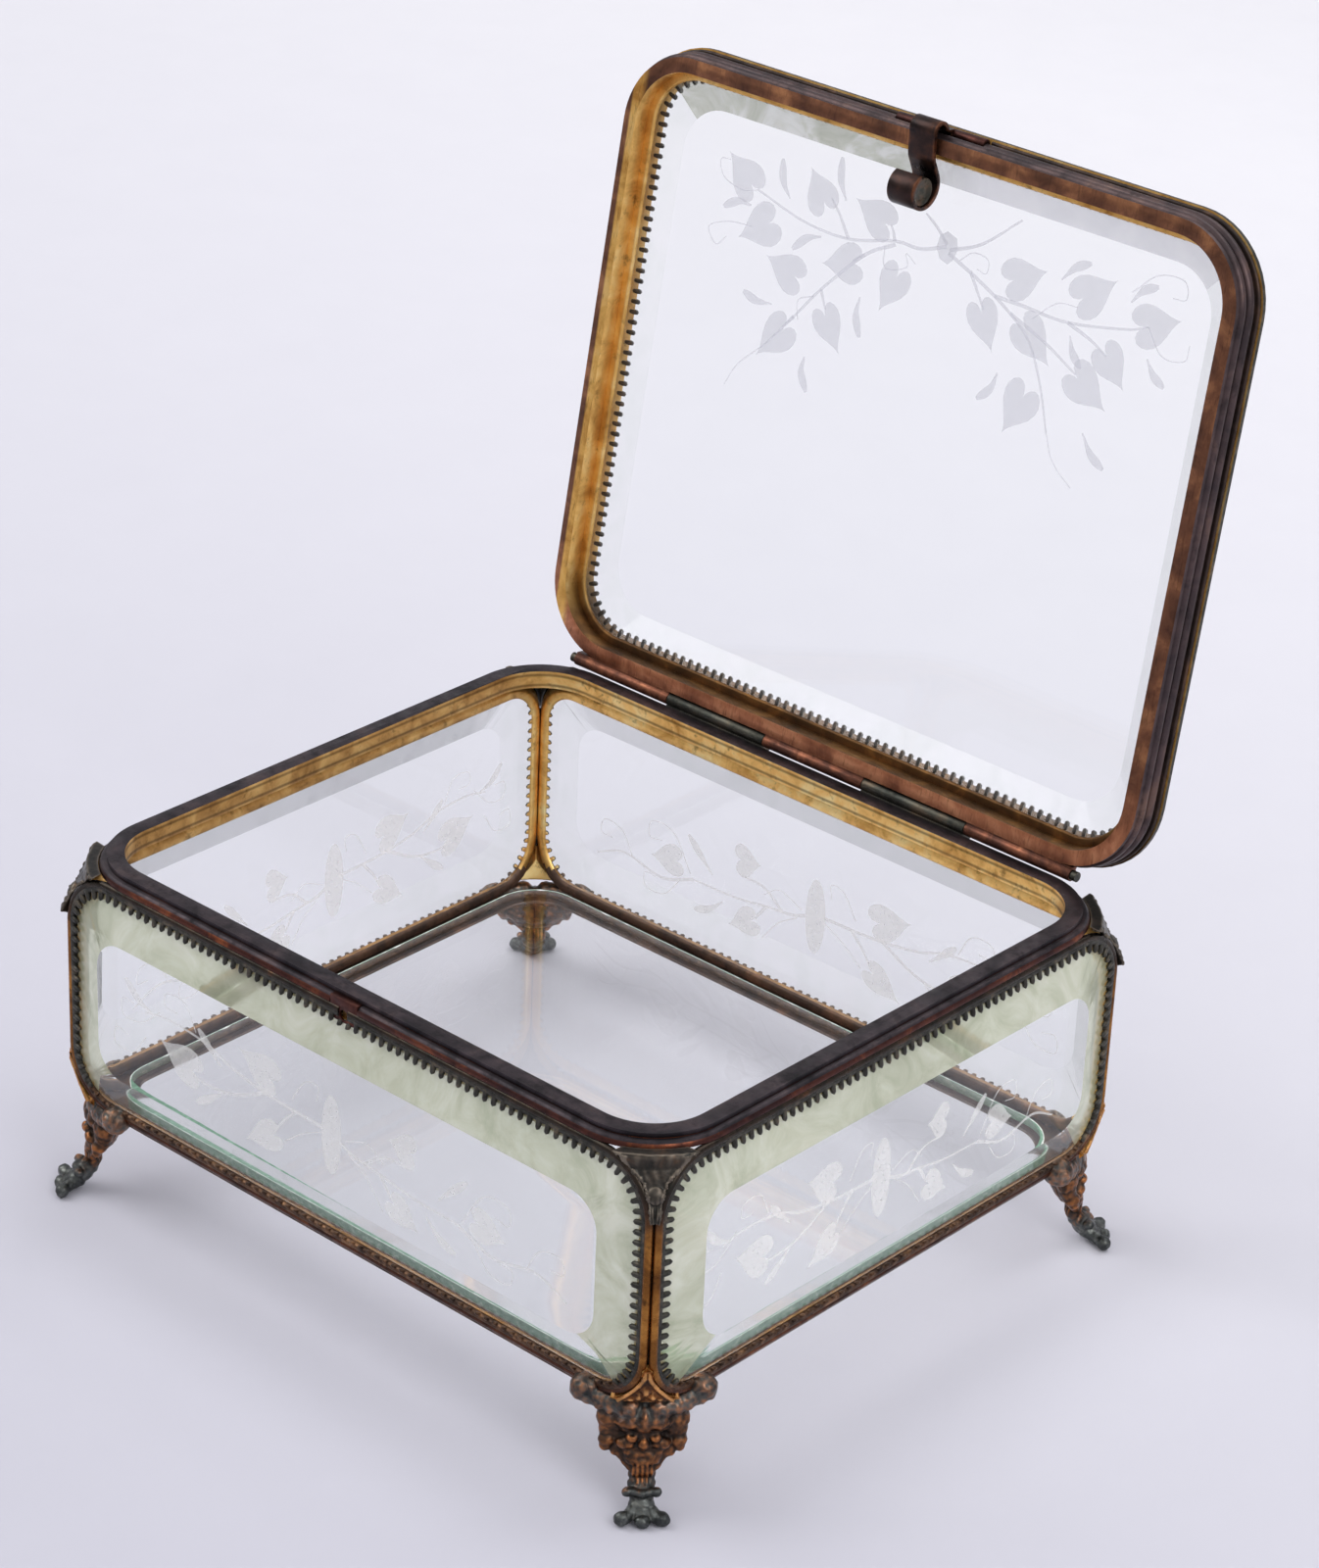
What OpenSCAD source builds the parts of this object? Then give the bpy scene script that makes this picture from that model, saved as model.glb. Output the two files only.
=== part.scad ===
// Bevelled glass casket on four cast feet, with a hinged glass lid and a swinging hasp.
// Sizes are millimetres. The origin is on the floor under the middle of the overall size with the
// lid open, and the front of the box faces -Y.

/* [Node] */
// Name of the sub-part to draw, or all

/* [Box] */
// Outer width of the rim, left to right
box_w = 150; // [140:1:160]
// Outer depth of the rim, front to back
box_d = 128; // [120:1:136]
// Height of the rim top above the floor
rim_top = 75; // [71:1:85]
// Radius of the rim corners seen from above
corner_r = 15.5; // [14.5:0.5:16.5]

/* [Rim] */
// Flat width of the rim top
rim_w = 3.4; // [3:0.1:4]
// Radius of the quarter-round moulding under the rim edge
moulding_r = 1.6; // [1.3:0.1:1.8]
// Height of the plain edge above the moulding
edge_h = 0.85; // [0.6:0.05:1]
// Thickness of the apron that hangs inside the rim
apron_t = 1.1; // [0.8:0.1:1.2]
// Height of the apron below the rim bar
apron_h = 0.75; // [0.5:0.05:1]

/* [Glass walls] */
// Thickness of the glass at its ground edge
edge_t = 2.4; // [2:0.1:2.6]
// Extra thickness of the glass inside the bevel
bevel_rise = 2.4; // [1.8:0.1:2.8]
// Width of the bevel
bevel_w = 8.2; // [6:0.1:9]
// Depth of the inner glass face behind the rim edge
glass_back = 1.5; // [1.3:0.1:1.7]

/* [Wall frames] */
// Corner radius of the half-round reed round each glass
reed_turn = 11; // [10.5:0.5:12]
// Radius of the half-round reed
reed_r = 0.8; // [0.7:0.05:0.8]
// Distance of the reed centre outside the rim edge plane
reed_out = 0.9; // [0.9:0.05:1]
// Distance of the reed centre inside the box corner line
reed_in = 0.3; // [0.25:0.05:0.4]
// Distance from the reed centre to the edge of the glass
glass_inset = 1.7; // [1.6:0.05:1.9]
// Thickness of the lip behind the glass
lip_t = 0.6; // [0.5:0.05:0.7]
// Width of the lip behind the glass
lip_w = 2.1; // [1.6:0.1:2.6]
// Thickness of the toothed flange in front of the glass
flange_t = 0.45; // [0.35:0.05:0.5]
// Distance from the reed centre to the roots of the teeth
tooth_root = 1.2; // [1.1:0.05:1.3]
// Length of a tooth
tooth_l = 1.6; // [1.2:0.1:1.8]
// Distance between neighbouring teeth
tooth_pitch = 2.15; // [2:0.05:2.6]

/* [Base] */
// Height of the feet, from the floor to the base ring
foot_h = 20.4; // [19:0.2:22]
// Height of the base ring
ring_h = 1.5; // [1.4:0.1:1.8]
// Distance the base ring stands outside the rim edge plane
ring_out = 0.4; // [0.2:0.1:0.6]
// Distance from the rim edge plane to the edge of the base glass
floor_inset = 5.5; // [5:0.1:6.5]
// Width of the ledge under the base glass
ledge_w = 1.6; // [1.2:0.1:2]
// Thickness of the ledge under the base glass
ledge_t = 0.6; // [0.5:0.05:0.8]
// Thickness of the base glass
floor_t = 4; // [3:0.1:4.5]

/* [Corner leaves] */
// Thickness of the cast corner pieces
leaf_t = 2; // [1.6:0.1:2.4]
// Lean of the upper corner pieces, in degrees
upper_lean = 28; // [26:1:30]
// Lean of the lower corner pieces, in degrees
lower_lean = 21; // [18:1:23]

/* [Rivets] */
// Radius of the rivets that hold the feet
rivet_r = 0.8; // [0.6:0.05:0.9]
// Distance of the rivets from the corner line, measured across the corner
rivet_in = 8.6; // [8.3:0.1:8.8]
// Half distance between the two rivets of one foot
rivet_side = 3; // [2.6:0.1:3.4]

/* [Lid] */
// Depth of the lid, front to back
lid_d = 126; // [118:1:134]
// Gap between the rim top and the closed lid
lid_gap = 0.3; // [0.2:0.05:0.5]
// Width of the flat band on the underside of the lid
band_w = 3; // [2.6:0.1:3.4]
// Height of the lid frame
lid_h = 6.4; // [6.2:0.1:6.6]
// Height of the band inside the lid, up to the lip
lip_level = 3.65; // [3.5:0.05:3.8]
// Thickness of the lip that carries the lid glass
lid_lip_t = 1; // [0.8:0.05:1.05]
// Distance from the lid edge to the edge of the lip
lid_lip_in = 4.8; // [4.4:0.1:5.2]
// Distance from the lid edge to the edge of the lid glass
lid_glass_in = 2.6; // [2.4:0.1:2.8]
// Thickness of the lid glass at its ground edge
lid_edge_t = 2.3; // [2:0.05:2.35]
// Extra thickness of the lid glass inside the bevel
lid_rise = 2.5; // [2:0.1:3]
// Width of the bevel on the lid glass
lid_bevel_w = 7.4; // [6.5:0.1:8.5]
// Distance from the lid edge to the roots of the lid teeth
lid_root_in = 5.2; // [4.9:0.1:5.5]
// Angle of the open lid from the closed lid, in degrees
open_angle = 99.6; // [92:0.2:104]

/* [Hinge] */
// Height of the hinge pin above the rim top
hinge_up = 1; // [0.95:0.05:1.1]
// Distance of the hinge pin behind the rim
hinge_back = 1.3; // [1.25:0.05:1.4]
// Radius of the hinge knuckles
knuckle_r = 1.3; // [1.2:0.05:1.35]
// Radius of the hinge pin
pin_r = 0.8; // [0.7:0.05:0.9]
// Distance from each side of the box to the hinge, on average
hinge_in = 10.3; // [8:0.1:15]
// Shift of the row of knuckles to the left
hinge_shift = 1.3; // [0:0.1:2]
// Gap between neighbouring knuckles
knuckle_gap = 0.16; // [0.1:0.02:0.3]
// Distance from the hinge pin to the edge of the closed lid
lid_back_in = 1.6; // [1.6:0.05:1.8]
// Running clearance round each pin
pin_fit = 0.05; // [0.03:0.01:0.08]

/* [Hasp] */
// Radius of the hasp knuckles
barrel_r = 1.1; // [1:0.05:1.15]
// Half length of the row of hasp knuckles
barrel_half = 10.7; // [9.5:0.1:12]
// Distance of the hasp pin outside the lid edge
barrel_out = 0.6; // [0.55:0.05:0.7]
// Height of the hasp pin above the underside of the lid
barrel_up = 4.5; // [4.4:0.05:4.6]
// Radius of the hasp pin
hasp_pin_r = 0.5; // [0.4:0.05:0.55]
// Width of the hasp strap
strap_w = 6.2; // [5:0.2:7]
// Thickness of the hasp strap
strap_t = 0.8; // [0.7:0.05:0.85]
// Radius of the curl at the end of the strap
curl_r = 4; // [3.6:0.1:4.2]
// Radius of the catch pin
catch_r = 0.75; // [0.6:0.05:0.85]
// Distance of the tip of the catch pin outside the hasp pin
catch_out = 2.8; // [2.8:0.05:3]

/* [Keeper] */
// Half width of the keeper plate
keeper_half = 3.45; // [3:0.05:4]
// Thickness of the keeper plate
keeper_t = 0.45; // [0.4:0.05:0.5]
// Distance of the keeper face outside the rim edge plane
keeper_out = 1.35; // [1.3:0.05:1.4]
// Extra radius of the hole in the keeper round the catch pin
catch_gap = 0.3; // [0.25:0.05:0.4]

/* [Hidden] */
// Clearance between solids of one body that only lie side by side
fit = 0.05;
// Length that a cutting shape runs past the face it cuts
past = 1;

ring_top = foot_h + ring_h;
reed_low = ring_top + reed_r;
rim_h = edge_h + moulding_r + 0.6;
reed_high = rim_top - edge_h - moulding_r - fit - reed_r;
wall_mid = (reed_low + reed_high) / 2;
wall_half = (reed_high - reed_low) / 2;
glass_turn = reed_turn - glass_inset;
bevel_slope = bevel_rise / bevel_w;
corner_off = box_w / 2 - corner_r;
corner_y = box_d / 2 - corner_r;

hinge_y = box_d / 2 + hinge_back;
hinge_z = rim_top + hinge_up;
hinge_l = box_w - 2 * hinge_in;
knuckle_l = hinge_l / 5;
lid_z = rim_top + lid_gap;
lid_mid = hinge_y - lid_back_in - lid_d / 2;
lid_front = lid_mid - lid_d / 2;
barrel_y = lid_front - barrel_out;
barrel_z = lid_z + barrel_up;
barrel_third = strap_w / 2;

strap_mid = strap_t / 2;
hump_r = 1.75;
hump_y = -4.1;
hump_z = 1.35;
leg_y = hump_y - hump_r;
leg_end = -3.2;
bend_r = 3;
bend = 24;
slope_l = 3;
slope_y = leg_y + bend_r - bend_r * cos(bend);
slope_z = leg_end - bend_r * sin(bend);
curl_y = slope_y + slope_l * sin(bend) - curl_r * cos(bend);
curl_z = slope_z - slope_l * cos(bend) - curl_r * sin(bend);
catch_z = barrel_z + curl_z;

lid_low = lip_level + lid_lip_t + fit + lid_edge_t;
sheet_reach = lid_d + lid_back_in - lid_glass_in - lid_bevel_w;
front_reach = box_d / 2 + (33 * sin(45) + 7.5) * foot_h / 100;
back_reach = hinge_y - sheet_reach * cos(open_angle)
    + (lid_low + lid_rise + lid_gap - hinge_up) * sin(open_angle);
origin_y = (back_reach - front_reach) / 2;

// Outlines of the foot in hundredths of its height, outwards and up
foot_unit = foot_h / 100;
foot_side = [
    [-13, 111], [-9, 102], [-6, 93], [-3, 78], [-6, 68], [-9, 61], [-5, 47], [-7, 38], [-8, 30],
    [3, 22], [3, 6], [-6, 6], [-18, 22], [-24, 39], [-28, 61], [-30, 68], [-40, 73], [-48, 84],
    [-52, 98], [-52, 111],
];
// Half outline of the foot seen from the corner, sideways and up
foot_front = [
    [0, 112], [38, 112], [52, 115], [56, 108], [50, 97], [38, 95], [34, 84], [31, 69], [34, 63],
    [33, 57], [25, 51], [18, 46], [13, 41], [11.5, 30], [11.5, 0], [0, 0],
];

// Moves the box so that the origin lies under the middle of its overall size with the lid open
module placed() {
    translate([0, -origin_y, 0])
        children();
}

// A flat rounded rectangle
module rounded(half_w, half_d, r) {
    square([2 * half_w, 2 * (half_d - r)], center = true);
    square([2 * (half_w - r), 2 * half_d], center = true);
    for (x = [-1, 1], y = [-1, 1])
        translate([x * (half_w - r), y * (half_d - r)])
            circle(r = r, $fn = 64);
}

// A section carried round a rounded rectangle; its x is measured from the corner centres
module carry_round(half_w, half_d, r) {
    for (turn = [0, 180])
        rotate([0, 0, turn]) {
            translate([half_w - r, half_d - r, 0])
                rotate_extrude(angle = 90, $fn = 64)
                    children();
            translate([r - half_w, half_d - r, 0])
                rotate([0, 0, 90])
                    rotate_extrude(angle = 90, $fn = 64)
                        children();
            translate([half_w - r, half_d - r, 0])
                rotate([90, 0, 0])
                    linear_extrude(2 * (half_d - r))
                        children();
            translate([r - half_w, half_d - r, 0])
                rotate([90, 0, 90])
                    linear_extrude(2 * (half_w - r))
                        children();
        }
}

// Point on the edge of a rounded rectangle, a way s along it and set in by d
function edge_point(s, w, h, r, d) =
    let (b = 2 * (h - r), a = 2 * (w - r), c = PI * r / 2)
    s >= a + b + 2 * c ? -edge_point(s - a - b - 2 * c, w, h, r, d) :
    s < b ? [w - d, s - b / 2] :
    s < b + c ? [w - r + (r - d) * cos((s - b) / c * 90), h - r + (r - d) * sin((s - b) / c * 90)] :
    s < b + c + a ? [a / 2 - (s - b - c), h - d] :
    [r - w - (r - d) * sin((s - b - c - a) / c * 90), h - r + (r - d) * cos((s - b - c - a) / c * 90)];

// The space inside a row of pointed teeth that runs round a rounded rectangle
module tooth_space(w, h, r, l) {
    run = 4 * (w + h) - 8 * r + 2 * PI * r;
    count = 2 * floor(run / tooth_pitch / 2);
    polygon([
        for (i = [0 : 2 * count - 1])
            edge_point(run * (i + 0.3) / (2 * count), w, h, r, i % 2 == 0 ? 0 : l)
    ]);
}

// A bevelled sheet of glass lying flat, inner face down
module bevelled_sheet(half_w, half_d, r, low, edge, rise, bevel) {
    carry_round(half_w, half_d, r)
        polygon([[0, low], [r, low], [r, low + edge], [r - bevel, low + edge + rise], [0, low + edge + rise]]);
    translate([r - half_w, r - half_d, low])
        cube([2 * (half_w - r), 2 * (half_d - r), edge + rise]);
}

// Puts a wall that lies flat round its middle into the front, right, back or left of the box
module stand(turn, depth) {
    rotate([0, 0, turn])
        translate([0, -depth / 2, wall_mid])
            rotate([90, 0, 0])
                children();
}

module wall_glass(w) {
    bevelled_sheet(w / 2 - reed_in - glass_inset, wall_half - glass_inset, glass_turn,
        -glass_back, edge_t, bevel_rise, bevel_w);
}

// Section of a wall frame: reed, web, lip behind the glass and flange in front of it
module frame_section() {
    lip = -glass_back - lip_t;
    mitre = reed_in - 2 * fit;
    grip = tooth_root + tooth_l;
    front = edge_t - glass_back + flange_t;
    translate([reed_turn, reed_out])
        circle(r = reed_r, $fn = 32);
    polygon([
        [reed_turn - glass_inset - lip_w, lip],
        [reed_turn + lip + mitre, lip],
        [reed_turn, -mitre],
        [reed_turn, front - glass_inset * bevel_slope],
        [reed_turn - grip, front + (grip - glass_inset) * bevel_slope],
        [reed_turn - grip, -glass_back],
        [reed_turn - glass_inset - lip_w, -glass_back],
    ]);
}

module wall_frame(w) {
    half = w / 2 - reed_in;
    difference() {
        carry_round(half, wall_half, reed_turn)
            frame_section();
        wall_glass(w);
        translate([0, 0, edge_t - glass_back + fit])
            linear_extrude(bevel_rise + past)
                tooth_space(half - tooth_root, wall_half - tooth_root, reed_turn - tooth_root, tooth_l);
    }
}

// The space a wall takes up, for trimming what lies against it, from deep inside to ahead of it
module wall_space(w, deep, ahead) {
    grow = reed_r + fit;
    translate([0, 0, -deep])
        linear_extrude(deep + ahead)
            rounded(w / 2 - reed_in + grow, wall_half + grow, reed_turn + grow);
}

// Copies a shape made for the front right corner to another corner
module to_corner(x, y) {
    mirror([x < 0 ? 1 : 0, 0, 0])
        mirror([0, y > 0 ? 1 : 0, 0])
            children();
}

// A frame at the front right corner: X out across the corner, Y sideways, Z up
module across_corner() {
    translate([box_w / 2, -box_d / 2, 0])
        rotate([0, 0, -45])
            children();
}

// Space drilled behind the keeper for the catch pin
module catch_hole(r) {
    translate([0, -box_d / 2 + reed_in, catch_z])
        rotate([90, 0, 0])
            cylinder(r = r, h = keeper_out + reed_in + past, $fn = 48);
}

module body_rim() {
    color([0.23, 0.2, 0.21]) placed()
        difference() {
            carry_round(box_w / 2, box_d / 2, corner_r) {
                translate([corner_r - rim_w, rim_top - rim_h])
                    square([rim_w - 0.1, rim_h]);
                translate([corner_r - 1, rim_top - edge_h])
                    square([1, edge_h]);
                translate([corner_r - rim_w, rim_top - rim_h - apron_h])
                    square([apron_t, apron_h + 0.5]);
                intersection() {
                    translate([corner_r - 0.1, rim_top - edge_h - moulding_r])
                        circle(r = moulding_r, $fn = 48);
                    translate([corner_r - 1, rim_top - edge_h - moulding_r])
                        square([moulding_r + past, moulding_r - 0.2]);
                }
            }
            translate([-keeper_half - fit, -box_d / 2 - moulding_r - past, rim_top - rim_h - past])
                cube([2 * (keeper_half + fit), moulding_r + past, rim_h - edge_h + past + fit]);
            for (x = [-1, 1])
                translate([x * knuckle_l - hinge_shift - knuckle_l / 2, box_d / 2, rim_top - rim_h - past])
                    cube([knuckle_l, moulding_r + past, rim_h + 2 * past]);
        }
}

module front_glass() {
    color([0.8, 0.92, 0.88, 0.35]) placed()
        stand(0, box_d)
            wall_glass(box_w);
}

module back_glass() {
    color([0.8, 0.92, 0.88, 0.35]) placed()
        stand(180, box_d)
            wall_glass(box_w);
}

module left_glass() {
    color([0.8, 0.92, 0.88, 0.35]) placed()
        stand(-90, box_w)
            wall_glass(box_d);
}

module right_glass() {
    color([0.8, 0.92, 0.88, 0.35]) placed()
        stand(90, box_w)
            wall_glass(box_d);
}

module front_frame() {
    color([0.55, 0.36, 0.16]) placed()
        difference() {
            stand(0, box_d)
                wall_frame(box_w);
            translate([-keeper_half - fit, -box_d / 2 - 2 * reed_out - past, reed_high - tooth_root - tooth_l - fit])
                cube([2 * (keeper_half + fit), past + 2 * reed_out - keeper_out + keeper_t + fit, 2 * tooth_l + tooth_root]);
            catch_hole(catch_r + catch_gap);
        }
}

module back_frame() {
    color([0.55, 0.36, 0.16]) placed()
        stand(180, box_d)
            wall_frame(box_w);
}

module left_frame() {
    color([0.55, 0.36, 0.16]) placed()
        stand(-90, box_w)
            wall_frame(box_d);
}

module right_frame() {
    color([0.55, 0.36, 0.16]) placed()
        stand(90, box_w)
            wall_frame(box_d);
}

// Shanks and heads of the rivets, opened up by grow
module rivet_set(grow) {
    for (x = [-1, 1], y = [-1, 1], side = [-1, 1])
        to_corner(x, y)
            across_corner()
                translate([-rivet_in, side * rivet_side, foot_h - 2]) {
                    cylinder(r = rivet_r + grow, h = 2 + ring_h - ledge_t / 2, $fn = 24);
                    translate([0, 0, -0.7 - grow])
                        cylinder(r = 1.7 * rivet_r + grow, h = 0.7 + grow, $fn = 24);
                }
}

module base_ring() {
    inner = floor_inset - fit;
    color([0.36, 0.24, 0.16]) placed()
        difference() {
            carry_round(box_w / 2, box_d / 2, corner_r) {
                translate([corner_r - inner, foot_h])
                    square([inner, ring_h]);
                translate([corner_r - inner - ledge_w, foot_h])
                    square([inner + ledge_w, ledge_t]);
                intersection() {
                    translate([corner_r + ring_out - ring_h / 2, foot_h + ring_h / 2])
                        circle(r = ring_h / 2, $fn = 32);
                    translate([corner_r - past, foot_h])
                        square([past + ring_h, ring_h]);
                }
            }
            rivet_set(0);
        }
}

module base_glass() {
    color([0.75, 0.9, 0.84, 0.35]) placed()
        translate([0, 0, foot_h + ledge_t])
            linear_extrude(floor_t)
                rounded(box_w / 2 - floor_inset, box_d / 2 - floor_inset, corner_r - floor_inset);
}

// A leaning shell in a corner, trimmed to the opening between two walls
module corner_leaf(low, high, radius, lean, from) {
    difference() {
        intersection() {
            translate([corner_off, -corner_y, from])
                rotate([0, 0, -45])
                    rotate([0, lean, 0])
                        translate([0, 0, -20])
                            difference() {
                                cylinder(r = radius, h = 40, $fn = 96);
                                translate([0, 0, -past])
                                    cylinder(r = radius - leaf_t, h = 40 + 2 * past, $fn = 96);
                            }
            translate([corner_off, -corner_y - 30, low])
                cube([30, 30, high - low]);
        }
        stand(0, box_d)
            wall_space(box_w, corner_r, corner_r);
        stand(90, box_w)
            wall_space(box_d, corner_r, corner_r);
    }
}

module upper_leaf(x, y) {
    to_corner(x, y)
        corner_leaf(rim_top - rim_h - 13, rim_top - rim_h - fit, corner_r + 1.5, -upper_lean, rim_top - rim_h);
}

module lower_leaf(x, y) {
    to_corner(x, y)
        corner_leaf(foot_h * 1.12 + fit, foot_h * 1.12 + 8.4, corner_r + 3.5, lower_lean, foot_h * 1.12);
}

module upper_leaf_front_right() {
    color([0.5, 0.33, 0.16]) placed()
        upper_leaf(1, -1);
}

module upper_leaf_front_left() {
    color([0.5, 0.33, 0.16]) placed()
        upper_leaf(-1, -1);
}

module upper_leaf_back_right() {
    color([0.5, 0.33, 0.16]) placed()
        upper_leaf(1, 1);
}

module upper_leaf_back_left() {
    color([0.5, 0.33, 0.16]) placed()
        upper_leaf(-1, 1);
}

module lower_leaf_front_right() {
    color([0.5, 0.33, 0.16]) placed()
        lower_leaf(1, -1);
}

module lower_leaf_front_left() {
    color([0.5, 0.33, 0.16]) placed()
        lower_leaf(-1, -1);
}

module lower_leaf_back_right() {
    color([0.5, 0.33, 0.16]) placed()
        lower_leaf(1, 1);
}

module lower_leaf_back_left() {
    color([0.5, 0.33, 0.16]) placed()
        lower_leaf(-1, 1);
}

// One cast foot: a face that wraps the corner, side scrolls, a narrow ankle and a paw
module foot(x, y) {
    u = foot_unit;
    to_corner(x, y)
        difference() {
            across_corner() {
                intersection() {
                    rotate([90, 0, 0])
                        linear_extrude(140 * u, center = true)
                            polygon([for (p = foot_side) p * u]);
                    rotate([90, 0, 90])
                        linear_extrude(160 * u, center = true)
                            polygon([
                                for (p = foot_front) p * u,
                                for (i = [len(foot_front) - 2 : -1 : 1]) [-foot_front[i][0] * u, foot_front[i][1] * u],
                            ]);
                    translate([-52 * u, 0, 0])
                        cylinder(r = 56 * u, h = 120 * u, $fn = 96);
                }
                for (side = [-1, 1]) {
                    translate([-39 * u, side * 47.5 * u, 107 * u])
                        sphere(r = 12.5 * u, $fn = 48);
                    translate([-17 * u, side * 32 * u, 60 * u])
                        sphere(r = 5 * u, $fn = 32);
                    translate([17 * u, side * 16 * u, 7.5 * u])
                        sphere(r = 7.5 * u, $fn = 32);
                }
                translate([19 * u, 0, 7.5 * u])
                    sphere(r = 7.5 * u, $fn = 32);
                translate([11 * u, 0, 29 * u])
                    sphere(r = 7.5 * u, $fn = 32);
                translate([5 * u, 0, 0])
                    cylinder(r = 14.5 * u, h = 22 * u, $fn = 48);
                translate([-2 * u, -16 * u, 22 * u])
                    rotate([-90, 0, 0])
                        cylinder(r = 4 * u, h = 32 * u, $fn = 24);
            }
            translate([0, 0, foot_h - fit])
                linear_extrude(ring_h + 2 * fit)
                    rounded(box_w / 2 + ring_out + fit, box_d / 2 + ring_out + fit, corner_r + ring_out + fit);
            translate([0, 0, foot_h])
                linear_extrude(foot_h)
                    rounded(box_w / 2 - reed_turn, box_d / 2, corner_r);
            stand(0, box_d)
                wall_space(box_w, corner_r, reed_out + reed_r + fit);
            stand(90, box_w)
                wall_space(box_d, corner_r, reed_out + reed_r + fit);
            rivet_set(0);
            across_corner()
                for (side = [-1, 1])
                    translate([-rivet_in, side * rivet_side, 0])
                        cylinder(r = 1.7 * rivet_r, h = foot_h - 2, $fn = 24);
        }
}

module foot_front_right() {
    color([0.42, 0.27, 0.15]) placed()
        foot(1, -1);
}

module foot_front_left() {
    color([0.42, 0.27, 0.15]) placed()
        foot(-1, -1);
}

module foot_back_right() {
    color([0.42, 0.27, 0.15]) placed()
        foot(1, 1);
}

module foot_back_left() {
    color([0.42, 0.27, 0.15]) placed()
        foot(-1, 1);
}

module foot_rivets() {
    color([0.5, 0.36, 0.2]) placed()
        rivet_set(0);
}

// Plate let into the front moulding, with a tenon behind it and a hole for the catch pin
module keeper_plate() {
    top = rim_top - edge_h;
    low = catch_z - catch_r - catch_gap - keeper_t;
    color([0.6, 0.42, 0.2]) placed()
        difference() {
            union() {
                translate([-keeper_half, -box_d / 2 - keeper_out, low])
                    cube([2 * keeper_half, keeper_t, top - low]);
                translate([-keeper_half, -box_d / 2 - keeper_out, rim_top - edge_h - moulding_r])
                    cube([2 * keeper_half, keeper_out, moulding_r]);
            }
            catch_hole(catch_r + catch_gap);
            stand(0, box_d)
                translate([0, 0, fit])
                    wall_glass(box_w);
        }
}

// A knuckle of the main hinge, with a leaf drawn on its section
module hinge_knuckle(place, width) {
    translate([place * knuckle_l - hinge_shift - width / 2, hinge_y, hinge_z])
        rotate([90, 0, 90])
            linear_extrude(width)
                difference() {
                    union() {
                        circle(r = knuckle_r, $fn = 48);
                        children();
                    }
                    circle(r = pin_r + pin_fit, $fn = 48);
                }
}

// Leaf behind the rim, with a ledge at the back that the open lid leans on
module body_leaf() {
    foot_z = -hinge_up - edge_h - moulding_r + fit;
    lean = open_angle - 90;
    reach = 4.6;
    near = 2.6;
    ridge = lid_back_in - 0.9 - 0.03;
    polygon([
        [-hinge_back, foot_z],
        [-hinge_back + 1, foot_z],
        [reach, -1.2],
        [reach, ridge / cos(lean) - reach * tan(lean)],
        [near, ridge / cos(lean) - near * tan(lean)],
        [near, -0.9],
        [0, -pin_r - 0.2],
        [-hinge_back, -pin_r],
    ]);
}

module lid_leaf() {
    polygon([
        [-lid_back_in, lid_gap - hinge_up + 0.1],
        [-0.9, lid_gap - hinge_up + 0.1],
        [-0.9, knuckle_r - 0.4],
        [-lid_back_in, knuckle_r],
    ]);
}

module body_knuckle_left() {
    color([0.5, 0.36, 0.2]) placed()
        hinge_knuckle(-1, knuckle_l - knuckle_gap)
            body_leaf();
}

module body_knuckle_right() {
    color([0.5, 0.36, 0.2]) placed()
        hinge_knuckle(1, knuckle_l - knuckle_gap)
            body_leaf();
}

module hinge_pin() {
    over = 1.2;
    color([0.55, 0.42, 0.25]) placed()
        translate([-hinge_l / 2 - hinge_shift, hinge_y, hinge_z])
            rotate([0, 90, 0]) {
                cylinder(r = pin_r, h = hinge_l, $fn = 48);
                translate([0, 0, -over])
                    cylinder(r = pin_r + 0.2, h = over, $fn = 48);
                translate([0, 0, hinge_l])
                    cylinder(r = pin_r + 0.2, h = over, $fn = 48);
            }
}

// Swings a part drawn on the closed lid to the open lid
module opened() {
    translate([0, hinge_y, hinge_z])
        rotate([-open_angle, 0, 0])
            translate([0, -hinge_y, -hinge_z])
                children();
}

// Puts a shape drawn round the middle of the underside of the lid in place
module on_lid() {
    opened()
        translate([0, lid_mid, lid_z])
            children();
}

module lid_frame() {
    floor_o = 0.55;
    color([0.5, 0.32, 0.2]) placed()
        on_lid()
            difference() {
                carry_round(box_w / 2, lid_d / 2, corner_r) {
                    translate([corner_r - band_w, 0])
                        square([band_w, lip_level]);
                    translate([corner_r - 2, 0])
                        square([2, lid_h]);
                    translate([corner_r - 0.2, 1.9])
                        circle(r = 0.9, $fn = 32);
                    translate([corner_r - 0.2, 4.2])
                        circle(r = 1.1, $fn = 32);
                    translate([corner_r - 0.5, 5.6])
                        square([1.3, lid_h - 5.6]);
                    translate([corner_r + 0.8, (5.6 + lid_h) / 2])
                        circle(r = (lid_h - 5.6) / 2, $fn = 24);
                }
                translate([-barrel_half - 0.2, -lid_d / 2 - 3, barrel_up - barrel_r - 0.5])
                    cube([2 * barrel_half + 0.4, 3 + floor_o, lid_h]);
                translate([-hinge_shift - hinge_l / 2 - 1.5, lid_d / 2, -past])
                    cube([hinge_l + 3, 3, 2.95 + past]);
            }
}

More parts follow.
